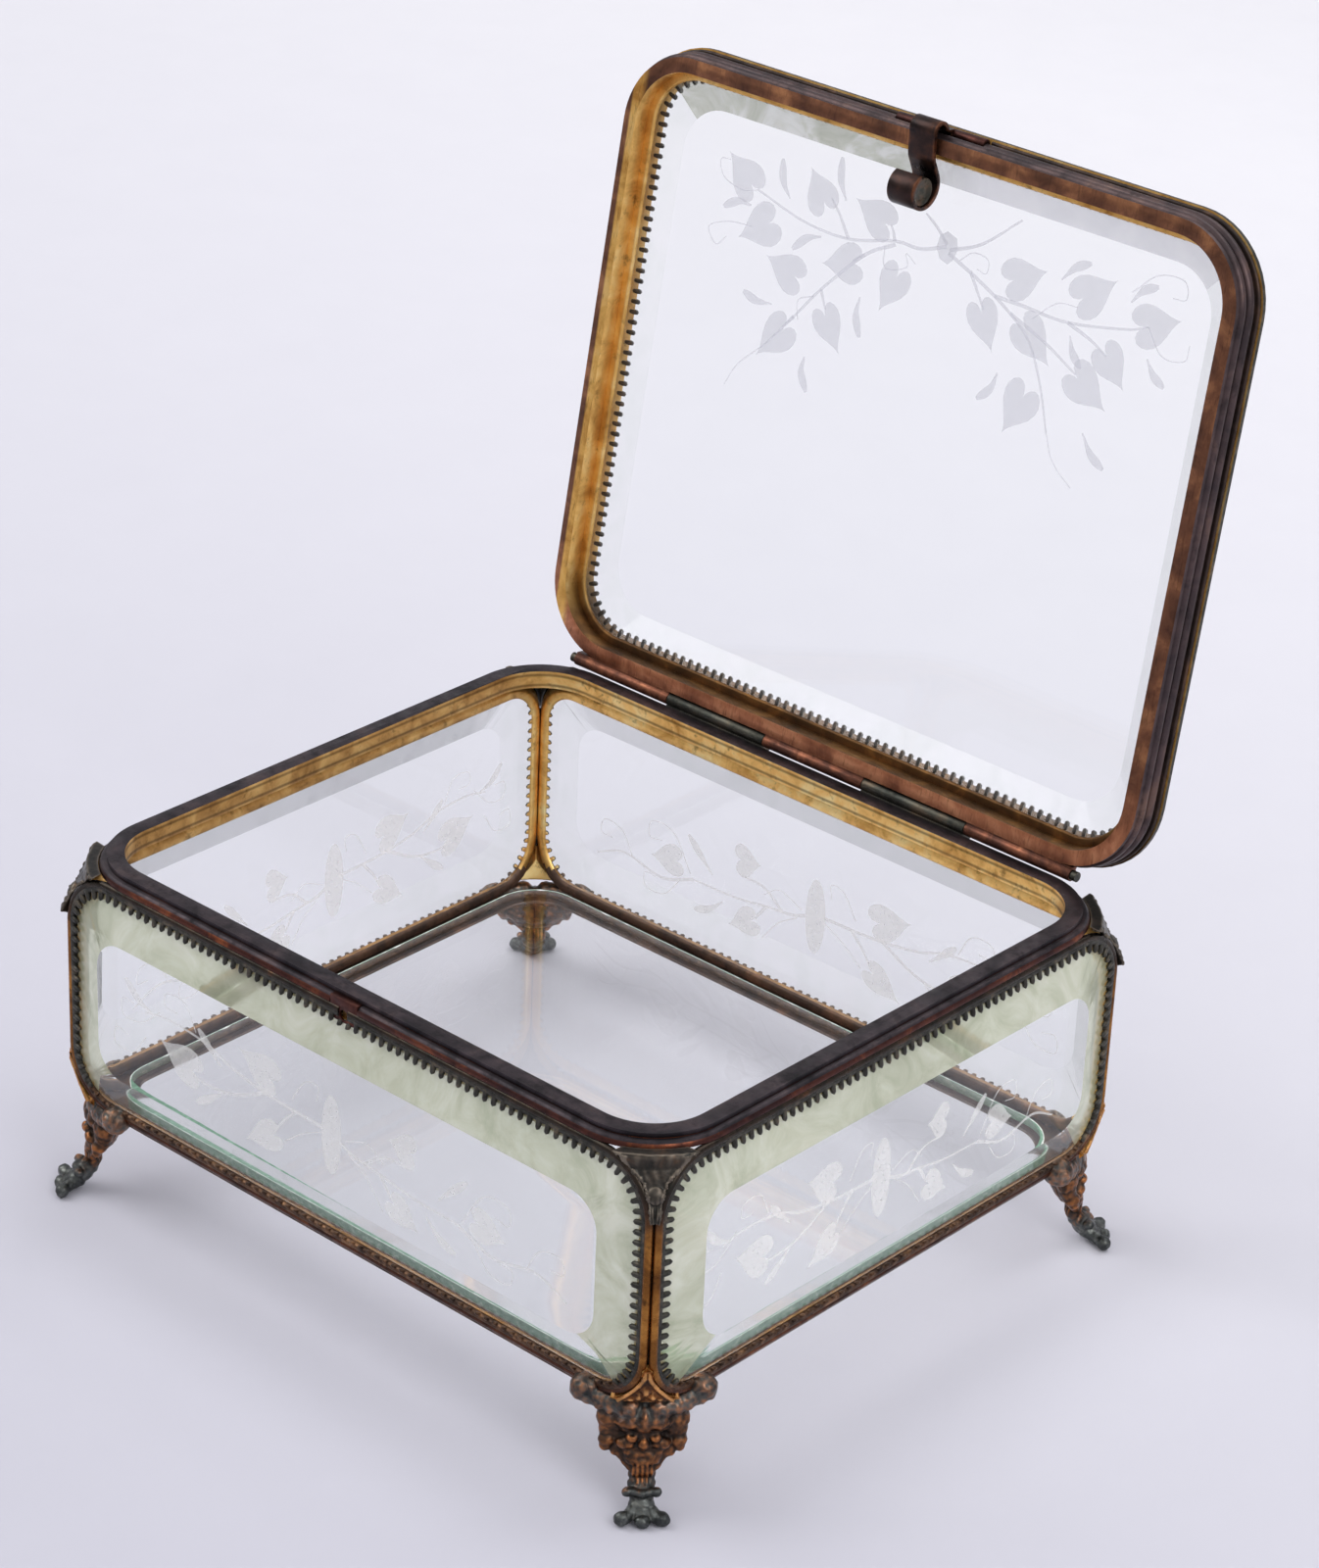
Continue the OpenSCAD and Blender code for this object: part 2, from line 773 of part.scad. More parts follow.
module lid_lip() {
    color([0.78, 0.56, 0.26]) placed()
        on_lid()
            carry_round(box_w / 2, lid_d / 2, corner_r) {
                translate([corner_r - lid_lip_in + lid_lip_t / 2, lip_level])
                    square([lid_lip_in - lid_lip_t / 2 - 2, lid_lip_t]);
                translate([corner_r - lid_lip_in + lid_lip_t / 2, lip_level + lid_lip_t / 2])
                    circle(r = lid_lip_t / 2, $fn = 24);
                translate([corner_r - lid_glass_in, lip_level])
                    square([lid_glass_in - 2, lid_h - lip_level]);
            }
}

module lid_glass() {
    color([0.8, 0.92, 0.88, 0.35]) placed()
        on_lid()
            bevelled_sheet(box_w / 2 - lid_glass_in, lid_d / 2 - lid_glass_in, corner_r - lid_glass_in,
                lip_level + lid_lip_t + fit, lid_edge_t, lid_rise, lid_bevel_w);
}

module lid_tooth_ring() {
    slope = lid_rise / lid_bevel_w;
    tip = lid_root_in + tooth_l;
    color([0.42, 0.33, 0.2]) placed()
        on_lid()
            difference() {
                carry_round(box_w / 2, lid_d / 2, corner_r)
                    polygon([
                        [corner_r - lid_glass_in, lid_h],
                        [corner_r + 1.5, lid_h],
                        [corner_r + 1.5, lid_low + flange_t - 0.1],
                        [corner_r - lid_glass_in, lid_low + flange_t],
                        [corner_r - tip, lid_low + flange_t + (tip - lid_glass_in) * slope],
                        [corner_r - tip, lid_low + (tip - lid_glass_in) * slope],
                        [corner_r - lid_glass_in, lid_low],
                    ]);
                translate([0, 0, lid_h])
                    linear_extrude(lid_rise + 2 * past)
                        tooth_space(box_w / 2 - lid_root_in, lid_d / 2 - lid_root_in, corner_r - lid_root_in, tooth_l);
                translate([-strap_w / 2 - 0.5, -lid_d / 2 - 3, lid_h - past])
                    cube([strap_w + 1, 2.7, 2 + past]);
            }
}

module lid_knuckle_left() {
    color([0.55, 0.4, 0.22]) placed()
        opened()
            hinge_knuckle(-2, knuckle_l - knuckle_gap)
                lid_leaf();
}

module lid_knuckle_middle() {
    color([0.55, 0.4, 0.22]) placed()
        opened()
            hinge_knuckle(0, knuckle_l - knuckle_gap)
                lid_leaf();
}

module lid_knuckle_right() {
    color([0.55, 0.4, 0.22]) placed()
        opened()
            hinge_knuckle(2, knuckle_l - knuckle_gap)
                lid_leaf();
}

// A knuckle of the hasp that is set into the front of the lid
module hasp_knuckle(from) {
    opened()
        translate([from, barrel_y, barrel_z])
            rotate([90, 0, 90])
                linear_extrude(barrel_half - barrel_third - 0.1)
                    difference() {
                        union() {
                            circle(r = barrel_r, $fn = 48);
                            translate([0, -0.6])
                                square([barrel_out + 0.55, 1.2]);
                        }
                        circle(r = hasp_pin_r + pin_fit, $fn = 48);
                    }
}

module hasp_knuckle_left() {
    color([0.55, 0.4, 0.22]) placed()
        hasp_knuckle(-barrel_half);
}

module hasp_knuckle_right() {
    color([0.55, 0.4, 0.22]) placed()
        hasp_knuckle(barrel_third + 0.1);
}

// The hasp hangs upright, so it keeps its attitude while the lid turns
module at_hasp() {
    turn_y = hinge_y + (barrel_y - hinge_y) * cos(open_angle) + (barrel_z - hinge_z) * sin(open_angle);
    turn_z = hinge_z - (barrel_y - hinge_y) * sin(open_angle) + (barrel_z - hinge_z) * cos(open_angle);
    translate([0, turn_y, turn_z])
        rotate([90, 0, 90])
            children();
}

module hasp_pin() {
    color([0.5, 0.36, 0.2]) placed()
        at_hasp()
            cylinder(r = hasp_pin_r, h = 2 * barrel_half, center = true, $fn = 32);
}

// Points along a bend of the strap, each with the direction to the left of the way it runs
function strap_bend(y, z, r, from, to, left) = [
    for (i = [0 : 20])
        let (a = from + (to - from) * i / 20)
        [y + r * cos(a), z + r * sin(a), left * cos(a), left * sin(a)]
];

module hasp_strap() {
    tail_r = 0.8 * curl_r;
    tail_turn = -110;
    line = [
        [-0.4, 0.85, -0.29, -0.96],
        each strap_bend(hump_y, hump_z, hump_r, 0, 180, -1),
        each strap_bend(leg_y + bend_r, leg_end, bend_r, 180, 180 + bend, -1),
        each strap_bend(curl_y, curl_z, curl_r, bend, tail_turn, 1),
        each strap_bend(curl_y + (curl_r - tail_r) * cos(tail_turn),
            curl_z + (curl_r - tail_r) * sin(tail_turn), tail_r, tail_turn - 5, -255, 1),
    ];
    color([0.62, 0.42, 0.16]) placed()
        at_hasp()
            difference() {
                union() {
                    cylinder(r = barrel_r, h = strap_w, center = true, $fn = 48);
                    linear_extrude(strap_w, center = true)
                        polygon([
                            for (p = line) [p[0] + p[2] * strap_mid, p[1] + p[3] * strap_mid],
                            for (i = [len(line) - 1 : -1 : 0])
                                [line[i][0] - line[i][2] * strap_mid, line[i][1] - line[i][3] * strap_mid],
                        ]);
                }
                cylinder(r = hasp_pin_r + pin_fit, h = strap_w + past, center = true, $fn = 48);
                translate([curl_y, curl_z, 0])
                    rotate([0, 90, 0])
                        cylinder(r = catch_r, h = curl_r + past, $fn = 48);
            }
}

module catch_pin() {
    root = curl_y + curl_r - strap_t - 0.5;
    color([0.5, 0.36, 0.2]) placed()
        at_hasp()
            translate([root, curl_z, 0])
                rotate([0, 90, 0])
                    cylinder(r = catch_r, h = -catch_out - root, $fn = 48);
}

body_rim();
front_glass();
back_glass();
left_glass();
right_glass();
front_frame();
back_frame();
left_frame();
right_frame();
base_ring();
base_glass();
upper_leaf_front_right();
upper_leaf_front_left();
upper_leaf_back_right();
upper_leaf_back_left();
lower_leaf_front_right();
lower_leaf_front_left();
lower_leaf_back_right();
lower_leaf_back_left();
foot_front_right();
foot_front_left();
foot_back_right();
foot_back_left();
foot_rivets();
keeper_plate();
body_knuckle_left();
body_knuckle_right();
hinge_pin();
lid_frame();
lid_lip();
lid_tooth_ring();
lid_glass();
lid_knuckle_left();
lid_knuckle_middle();
lid_knuckle_right();
hasp_knuckle_left();
hasp_knuckle_right();
hasp_pin();
hasp_strap();
catch_pin();
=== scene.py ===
"""Bevelled glass casket in an aged gilt frame, lid open, on four cast feet with a grotesque mask."""
import math

import bpy
import bmesh
from mathutils import Matrix, Vector, noise


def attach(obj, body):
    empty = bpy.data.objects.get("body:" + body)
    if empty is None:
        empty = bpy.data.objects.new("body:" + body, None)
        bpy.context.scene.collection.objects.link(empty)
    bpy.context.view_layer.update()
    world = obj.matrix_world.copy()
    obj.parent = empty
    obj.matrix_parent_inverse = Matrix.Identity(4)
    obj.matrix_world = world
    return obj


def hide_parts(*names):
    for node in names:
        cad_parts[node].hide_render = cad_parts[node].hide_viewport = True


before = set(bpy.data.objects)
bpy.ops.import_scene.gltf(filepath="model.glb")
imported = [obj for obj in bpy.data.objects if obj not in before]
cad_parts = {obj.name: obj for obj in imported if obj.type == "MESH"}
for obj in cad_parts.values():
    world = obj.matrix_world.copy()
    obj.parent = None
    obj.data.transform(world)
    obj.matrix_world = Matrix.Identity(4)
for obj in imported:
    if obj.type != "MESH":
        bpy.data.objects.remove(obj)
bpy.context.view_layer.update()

MM = 0.001
# The box as it is drawn: middle of the rim over the origin, before the frame's shift in y
SHIFT_Y = -11.649263
BOX_W, BOX_D, CORNER_R = 150.0, 128.0, 15.5
WALL_MID, WALL_HALF, REED_TURN, REED_IN = 47.2, 24.5, 11.0, 0.3
GLASS_BACK, EDGE_T, BEVEL_RISE, BEVEL_W = 1.5, 2.4, 2.4, 8.2
HINGE_Y, HINGE_Z, OPEN_ANGLE = 65.3, 76.0, 99.6
LID_D, LID_Z = 126.0, 75.3
LID_MID = HINGE_Y - 1.6 - LID_D / 2
TOOTH_PITCH = 2.15
TOOTH_SIDES, TOOTH_RINGS = 8, 6
TOOTH_POINTS = TOOTH_SIDES * (TOOTH_RINGS - 1) + 2
FOOT_UNIT = 0.204
GLASS_BEND = 1.36
# Base glass: how far its edge lies inside the box's outline, and the height of its top
BASE_EDGE_IN, BASE_TOP = 5.5, 25.0
# Lid: how far it is up, from its underside, to the top of its glass's edge and to its etched underside
LID_EDGE_TOP, LID_ETCHED = 7.0, 4.7
LID_BEVEL_RISE, LID_BEVEL_W = 2.5, 7.4
# Catch: half width of the opening behind the keeper plate, and the middle of the hasp's curl
CATCH_HALF = 1.2
CURL_Y, CURL_Z = 70.48, 192.23


def clip(value):
    """The value held between 0 and 1."""
    return min(1.0, max(0.0, value))


def circle(count):
    """Cosine and sine at even steps all the way round."""
    return [(math.cos(a), math.sin(a)) for a in (2 * math.pi * i / count for i in range(count))]


def skin(bm, rings, closed=False, finish=0):
    """Faces between each ring of points and the next one."""
    for one, two in zip(rings, rings[1:] + rings[:1] if closed else rings[1:]):
        for j in range(len(one)):
            k = (j + 1) % len(one)
            bm.faces.new((one[j], two[j], two[k], one[k])).material_index = finish


# ---------------------------------------------------------------- places

def wall_place(turn, depth):
    """From a wall's own plane (along, up, outwards) to the frame, in millimetres."""
    return (Matrix.Translation((0, SHIFT_Y, 0)) @ Matrix.Rotation(math.radians(turn), 4, "Z")
            @ Matrix.Translation((0, -depth / 2, WALL_MID)) @ Matrix.Rotation(math.pi / 2, 4, "X"))


def lid_place():
    """From the shut lid's middle, underside down, to the open lid."""
    return (Matrix.Translation((0, SHIFT_Y + HINGE_Y, HINGE_Z))
            @ Matrix.Rotation(-math.radians(OPEN_ANGLE), 4, "X")
            @ Matrix.Translation((0, LID_MID - HINGE_Y, LID_Z - HINGE_Z)))


def corner_place(side_x, side_y):
    """From a corner's own frame (out across the corner, sideways, up) to the frame."""
    turn = math.atan2(side_y, side_x)
    turn = round((turn - math.pi / 4) / (math.pi / 2)) * math.pi / 2 + math.pi / 4
    return (Matrix.Translation((side_x * BOX_W / 2, side_y * BOX_D / 2 + SHIFT_Y, 0))
            @ Matrix.Rotation(turn, 4, "Z"))


WALLS = {
    "front": (0, BOX_D, BOX_W), "right": (90, BOX_W, BOX_D),
    "back": (180, BOX_D, BOX_W), "left": (270, BOX_W, BOX_D),
}
CORNERS = {
    "front_right": (1, -1), "front_left": (-1, -1), "back_right": (1, 1), "back_left": (-1, 1),
}


# ---------------------------------------------------------------- finishes

def tint(red, green, blue):
    """A colour as it is seen on a screen, 0 to 255, for a shader."""
    def line(v):
        v /= 255
        return v / 12.92 if v <= 0.04045 else ((v + 0.055) / 1.055) ** 2.4
    return (line(red), line(green), line(blue), 1.0)


class Finish:
    """A material with short ways to add its nodes."""

    def __init__(self, name):
        self.mat = bpy.data.materials.new(name)
        self.mat.use_nodes = True
        self.tree = self.mat.node_tree
        self.shader = self.tree.nodes["Principled BSDF"]
        self.coords = self.node("ShaderNodeTexCoord").outputs["Object"]

    def node(self, kind, **values):
        made = self.tree.nodes.new(kind)
        for key, value in values.items():
            setattr(made, key, value)
        return made

    def link(self, start, end):
        self.tree.links.new(start, end)

    def put(self, socket, value):
        if hasattr(value, "is_output"):
            self.link(value, socket)
        else:
            socket.default_value = value

    def stretch(self, scale):
        m = self.node("ShaderNodeMapping")
        m.inputs["Scale"].default_value = scale
        self.link(self.coords, m.inputs["Vector"])
        return m.outputs["Vector"]

    def cloud(self, scale, detail=4.0, rough=0.55, twist=0.0, coords=None):
        n = self.node("ShaderNodeTexNoise")
        n.inputs["Scale"].default_value = scale
        n.inputs["Detail"].default_value = detail
        n.inputs["Roughness"].default_value = rough
        n.inputs["Distortion"].default_value = twist
        self.link(coords or self.coords, n.inputs["Vector"])
        return n.outputs["Fac"]

    def axis(self, name):
        """Where a point lies along X, Y or Z, in metres."""
        apart = self.node("ShaderNodeSeparateXYZ")
        self.link(self.coords, apart.inputs[0])
        return apart.outputs[name]

    def ramp(self, value, *stops):
        """Colours along a value, each as its place and its red, green and blue on a screen."""
        r = self.node("ShaderNodeValToRGB")
        while len(r.color_ramp.elements) < len(stops):
            r.color_ramp.elements.new(0.5)
        for e, (place, *colour) in zip(r.color_ramp.elements, stops):
            e.position = place
            e.color = tint(*colour)
        self.link(value, r.inputs["Fac"])
        return r.outputs["Color"]

    def span(self, value, low, high, to_low=0.0, to_high=1.0):
        m = self.node("ShaderNodeMapRange")
        for key, number in (("From Min", low), ("From Max", high), ("To Min", to_low), ("To Max", to_high)):
            m.inputs[key].default_value = number
        self.link(value, m.inputs["Value"])
        return m.outputs["Result"]

    def sum(self, kind, a, b):
        m = self.node("ShaderNodeMath", operation=kind)
        self.put(m.inputs[0], a)
        self.put(m.inputs[1], b)
        return m.outputs[0]

    def mix(self, share, a, b):
        m = self.node("ShaderNodeMix", data_type="RGBA")
        self.put(m.inputs["Factor"], share)
        self.put(m.inputs["A"], a)
        self.put(m.inputs["B"], b)
        return m.outputs["Result"]

    def attribute(self, name):
        return self.node("ShaderNodeAttribute", attribute_name=name).outputs["Fac"]

    def relief(self, height, strength, distance):
        b = self.node("ShaderNodeBump")
        b.inputs["Strength"].default_value = strength
        b.inputs["Distance"].default_value = distance
        self.link(height, b.inputs["Height"])
        self.link(b.outputs["Normal"], self.shader.inputs["Normal"])

    def grime(self, tone, cloud, low, most, colour, rough):
        """Lays dark grime in the high parts of a cloud, and makes it duller there."""
        self.set(Base_Color=self.mix(self.span(cloud, *low, 0.0, most), tone, tint(*colour)),
                 Roughness=self.span(cloud, 0.35, 0.7, *rough))

    def set(self, **values):
        for key, value in values.items():
            self.put(self.shader.inputs[key.replace("_", " ")], value)
        return self.mat


def aged_metal(name, dark, mid, bright, size=6.0, share=(0.38, 0.55, 0.72), rough=(0.28, 0.55),
               worn=None, metallic=0.9, pits=0.25):
    """Metal under an uneven patina: clouds of three tones, fine grime, and rubbed high places."""
    f = Finish(name)
    patches = f.cloud(1000 / size, 7, 0.62, 0.6)
    tone = f.ramp(patches, (share[0], *dark), (share[1], *mid), (share[2], *bright))
    grime = f.cloud(2600 / size, 5, 0.7)
    tone = f.mix(f.span(grime, 0.52, 0.7, 0.0, 0.75), tone, (*(c * 0.45 for c in tint(*dark)[:3]), 1))
    if worn:
        rub = f.sum("MULTIPLY", f.attribute("rubbed"), f.span(patches, 0.3, 0.6, 0.35, 1.0))
        tone = f.mix(rub, tone, tint(*worn))
    f.relief(f.cloud(2200, 4, 0.65), pits, 0.00012)
    return f.set(Base_Color=tone, Roughness=f.span(grime, 0.35, 0.7, *rough), Metallic=metallic)


def make_finishes():
    return {
        "rim_top": aged_metal(
            "Rim brown black patina", (38, 34, 38), (62, 54, 58), (86, 72, 72),
            size=9, rough=(0.36, 0.6), metallic=0.75),
        "moulding": aged_metal(
            "Rim red brown moulding", (52, 32, 32), (84, 48, 40), (170, 96, 56),
            size=11, share=(0.36, 0.56, 0.76), rough=(0.24, 0.48), metallic=0.85, pits=0.12),
        "gilt": gilt_finish(),
        "lid_gilt": lid_gilt_finish(),
        "reed": reed_finish(),
        "tooth": aged_metal(
            "Tooth grey patina", (48, 47, 43), (72, 70, 64), (112, 98, 80),
            size=3, rough=(0.34, 0.6), metallic=0.7),
        "low_tooth": aged_metal(
            "Tooth brown", (60, 46, 38), (100, 74, 56), (158, 118, 84),
            size=3, rough=(0.3, 0.55), metallic=0.8),
        "dark_tooth": aged_metal(
            "Lid tooth dark", (44, 40, 36), (66, 56, 48), (98, 78, 58),
            size=3, rough=(0.45, 0.65), metallic=0.3),
        "base": aged_metal(
            "Base ring brown", (66, 52, 46), (98, 74, 60), (146, 104, 76),
            size=7, share=(0.36, 0.56, 0.76), rough=(0.5, 0.7), metallic=0.45, pits=0.2),
        "copper": band_finish(),
        "ridge": aged_metal(
            "Lid ridge purple brown", (58, 48, 50), (82, 66, 66), (116, 90, 78),
            size=12, rough=(0.34, 0.52), metallic=0.65, pits=0.12),
        "outer": aged_metal(
            "Lid outer edge brown", (44, 36, 34), (66, 52, 46), (100, 74, 58),
            size=9, rough=(0.42, 0.6), metallic=0.65, pits=0.15),
        "hasp": hasp_finish(),
        "core": aged_metal(
            "Hasp curl green brown", (48, 50, 44), (74, 66, 54), (110, 78, 56),
            size=4, rough=(0.26, 0.45), metallic=0.75, pits=0.12),
        "tube": aged_metal(
            "Lid hinge tube red brown", (84, 54, 44), (128, 80, 60), (176, 118, 84),
            rough=(0.28, 0.5), metallic=0.85, pits=0.15),
        "hinge": aged_metal(
            "Hinge tube grey", (52, 54, 50), (78, 76, 68), (112, 96, 78),
            size=7, rough=(0.3, 0.55), metallic=0.85),
        "leaf": aged_metal(
            "Corner cast dark patina", (40, 40, 38), (64, 58, 52), (104, 76, 54), worn=(118, 108, 96),
            size=5, share=(0.4, 0.58, 0.78), rough=(0.28, 0.5), metallic=0.75),
        "low_leaf": aged_metal(
            "Corner cast gilt brown", (62, 38, 24), (108, 66, 34), (164, 104, 54), worn=(226, 164, 100),
            size=4, rough=(0.22, 0.46)),
        "foot": foot_finish(),
        "glass": glass_finish(),
        # Pale green slope: partly the glass's own tint, partly a painted reflection, half opaque
        "bevel": bevel_finish("Pale green bevel", 0.5, (178, 184, 150), (204, 208, 178), (224, 225, 200)),
        "clear_bevel": bevel_finish("Bright bevel", 0.93, (238, 242, 238), (246, 248, 246), (252, 252, 252)),
        "edge": bevel_finish("Glass edge mirroring gilt", 0.2, (96, 64, 30), (140, 98, 46), (176, 130, 68)),
        "lid_bevel": lid_bevel_finish(),
        "cut_edge": cut_edge_finish(),
        "green_edge": green_edge_finish(),
        "frost": frost_finish("Etched frost", (226, 224, 224), (240, 238, 236), 0.3),
        # The lid's frost is painted darker than the walls' frost: painted shade
        "lid_frost_painted_shade": frost_finish("Etched frost on lid, painted shade", (196, 196, 206), (208, 208, 216), 0.26),
        "chips": frost_finish("Chipped glass", (196, 206, 200), (250, 252, 250), 0.9),
    }


def gilt_finish():
    """Gold inside the box, with painted light on the back wall where a brighter copy of the gold is mixed in,
    and dark lines where the lip meets the rim.
    """
    f = Finish("Gilt with painted light on the back")
    y, z = f.axis("Y"), f.axis("Z")
    patches = f.cloud(150, 6, 0.62, 0.5)
    plain = f.ramp(patches, (0.3, 142, 100, 52), (0.5, 198, 152, 88), (0.7, 228, 188, 120))
    # Painted light: a brighter copy of the gold, laid on the back wall as if it faced the lamps
    painted_light_gold = f.ramp(patches, (0.3, 198, 142, 68), (0.5, 248, 200, 120), (0.7, 255, 230, 164))
    tone = f.mix(f.span(y, 0.042, 0.049), plain, painted_light_gold)
    for level in (0.0719, 0.0742):
        away = f.sum("ABSOLUTE", f.sum("SUBTRACT", z, level), 0.0)
        tone = f.mix(f.span(away, 0.00012, 0.00045, 0.62, 0.0), tone, tint(70, 46, 28))
    f.grime(tone, f.cloud(420, 5, 0.7), (0.56, 0.7), 0.6, (84, 60, 34), (0.34, 0.5))
    f.relief(f.cloud(2200, 4, 0.65), 0.1, 0.00012)
    return f.set(Metallic=0.88)


def lid_gilt_finish():
    """Gold lip round the lid glass, gone brown along the hinge."""
    f = Finish("Lid lip gilt")
    z = f.axis("Z")
    patches = f.cloud(150, 6, 0.62, 0.5)
    gold = f.ramp(patches, (0.3, 192, 140, 70), (0.5, 236, 188, 108), (0.7, 252, 220, 152))
    brown = f.ramp(patches, (0.34, 66, 46, 28), (0.54, 98, 68, 38), (0.74, 146, 104, 56))
    tone = f.mix(f.span(z, 0.096, 0.084), gold, brown)
    f.grime(tone, f.cloud(420, 5, 0.7), (0.56, 0.7), 0.5, (84, 56, 28), (0.4, 0.56))
    return f.set(Metallic=0.82)


def reed_finish():
    """Gold on the posts, red brown where a reed runs along the top or the bottom."""
    f = Finish("Reed worn gilt")
    z = f.axis("Z")
    patches = f.cloud(140, 6, 0.6, 0.4)
    gold = f.ramp(patches, (0.34, 84, 52, 26), (0.52, 130, 84, 38), (0.7, 184, 128, 62))
    brown = f.ramp(patches, (0.38, 58, 38, 32), (0.56, 88, 56, 42), (0.74, 140, 88, 56))
    dark = f.ramp(patches, (0.4, 44, 42, 38), (0.6, 64, 54, 46), (0.8, 110, 72, 48))
    up = f.sum("MULTIPLY", f.span(z, 0.0245, 0.03), f.span(z, 0.066, 0.058))
    tone = f.mix(f.span(z, 0.058, 0.066), f.mix(up, brown, gold), dark)
    f.grime(tone, f.cloud(520, 5, 0.7), (0.54, 0.68), 0.7, (40, 28, 20), (0.2, 0.46))
    f.relief(f.cloud(2000, 4, 0.6), 0.15, 0.0001)
    return f.set(Metallic=0.92)


def hasp_finish():
    """Dark brown, rubbed to copper along the strap's two long edges."""
    f = Finish("Hasp dark brown")
    x = f.axis("X")
    across = f.sum("ABSOLUTE", x, 0.0)
    patches = f.cloud(260, 5, 0.6, 0.3)
    tone = f.ramp(patches, (0.36, 34, 28, 28), (0.56, 58, 42, 38), (0.78, 92, 58, 40))
    edge = f.sum("MULTIPLY", f.span(across, 0.0026, 0.00305), f.span(across, 0.0034, 0.0031))
    tone = f.mix(f.sum("MULTIPLY", edge, f.span(patches, 0.4, 0.65, 0.05, 0.6)), tone, tint(132, 82, 52))
    f.relief(f.cloud(1200, 4, 0.6), 0.08, 0.0001)
    return f.set(Base_Color=tone, Roughness=f.span(patches, 0.3, 0.7, 0.24, 0.4), Metallic=0.85)


def band_finish():
    """Flat underside of the lid: brown copper, redder along the hinge, gilt beside the lip on the left."""
    f = Finish("Lid band copper and gilt")
    x, z = f.axis("X"), f.axis("Z")
    patches = f.cloud(120, 7, 0.62, 0.5)
    copper = f.ramp(patches, (0.34, 84, 56, 44), (0.52, 124, 82, 60), (0.7, 176, 122, 84))
    red = f.ramp(patches, (0.34, 126, 78, 56), (0.52, 178, 116, 84), (0.7, 214, 152, 112))
    gold = f.ramp(patches, (0.34, 186, 132, 62), (0.52, 230, 180, 98), (0.7, 246, 208, 134))
    tone = f.mix(f.span(z, 0.1, 0.086), copper, red)
    tone = f.mix(f.sum("MULTIPLY", f.span(x, -0.0738, -0.0734), f.span(x, -0.070, -0.0715)), tone, gold)
    scratches = f.cloud(300, 3, 0.6, 0.0, f.stretch((6, 1, 1)))
    f.grime(tone, scratches, (0.55, 0.7), 0.45, (62, 42, 32), (0.3, 0.5))
    f.relief(scratches, 0.12, 0.0001)
    return f.set(Metallic=0.88)


def foot_finish():
    """Copper rubbed bright on the mask's high places, black in the hollows, grey green on the paw."""
    f = Finish("Cast foot bronze")
    z = f.axis("Z")
    patches = f.cloud(330, 7, 0.62, 0.8)
    upper = f.ramp(patches, (0.38, 46, 41, 38), (0.54, 78, 58, 46), (0.72, 134, 86, 54))
    lower = f.ramp(patches, (0.36, 58, 60, 60), (0.55, 90, 93, 91), (0.75, 134, 134, 127))
    ragged = f.sum("ADD", z, f.span(patches, 0.3, 0.7, -0.0016, 0.0016))
    tone = f.mix(f.span(ragged, 0.0052, 0.0072), lower, upper)
    tone = f.mix(f.sum("MULTIPLY", f.span(ragged, 0.0182, 0.0202), 0.8), tone, lower)
    high = f.sum("MULTIPLY", f.attribute("rubbed"), f.span(ragged, 0.0056, 0.008))
    tone = f.mix(f.sum("MULTIPLY", high, f.span(patches, 0.36, 0.56, 0.15, 1.0)), tone, tint(206, 130, 72))
    tone = f.mix(f.sum("MULTIPLY", f.attribute("hollow"), 0.85), tone, tint(34, 30, 28))
    f.relief(f.cloud(1500, 5, 0.7), 0.3, 0.00015)
    return f.set(Base_Color=tone, Roughness=f.span(patches, 0.35, 0.7, 0.46, 0.26), Metallic=0.88)


def glass_finish():
    """Clear plate, a touch darker here and there."""
    f = Finish("Clear plate glass")
    clear = tint(254, 255, 254)
    tone = f.mix(f.span(f.cloud(60, 3, 0.5), 0.4, 0.7, 0.0, 0.25), clear, (*(c * 0.98 for c in clear[:3]), 1))
    return f.set(Base_Color=tone, Transmission_Weight=1.0, IOR=GLASS_BEND, Roughness=0.0)


def bevel_finish(name, clear, low, mid, high):
    """The ground and polished slope, with faint streaks across it."""
    f = Finish(name)
    tone = f.ramp(f.cloud(90, 5, 0.6, 1.5), (0.3, *low), (0.5, *mid), (0.7, *high))
    streak = f.cloud(420, 2, 0.5, 0.0, f.stretch((1, 1, 0.25)))
    f.relief(streak, 0.04, 0.0001)
    return f.set(Base_Color=tone, Roughness=f.span(streak, 0.4, 0.7, 0.04, 0.16),
                 Transmission_Weight=clear, IOR=GLASS_BEND)


def lid_bevel_finish():
    """Slope along the lid's front edge, its colour a painted reflection and shade: grey green on the left,
    nearly white on the right.
    """
    f = Finish("Lid front bevel")
    x = f.axis("X")
    smear = f.cloud(90, 5, 0.6, 1.5)
    green = f.ramp(smear, (0.35, 176, 180, 158), (0.5, 204, 208, 190), (0.62, 236, 238, 230))
    white = f.ramp(smear, (0.35, 240, 241, 244), (0.6, 250, 250, 252))
    return f.set(Base_Color=f.mix(f.span(x, -0.012, 0.008), green, white),
                 Transmission_Weight=0.62, IOR=GLASS_BEND, Roughness=0.08)


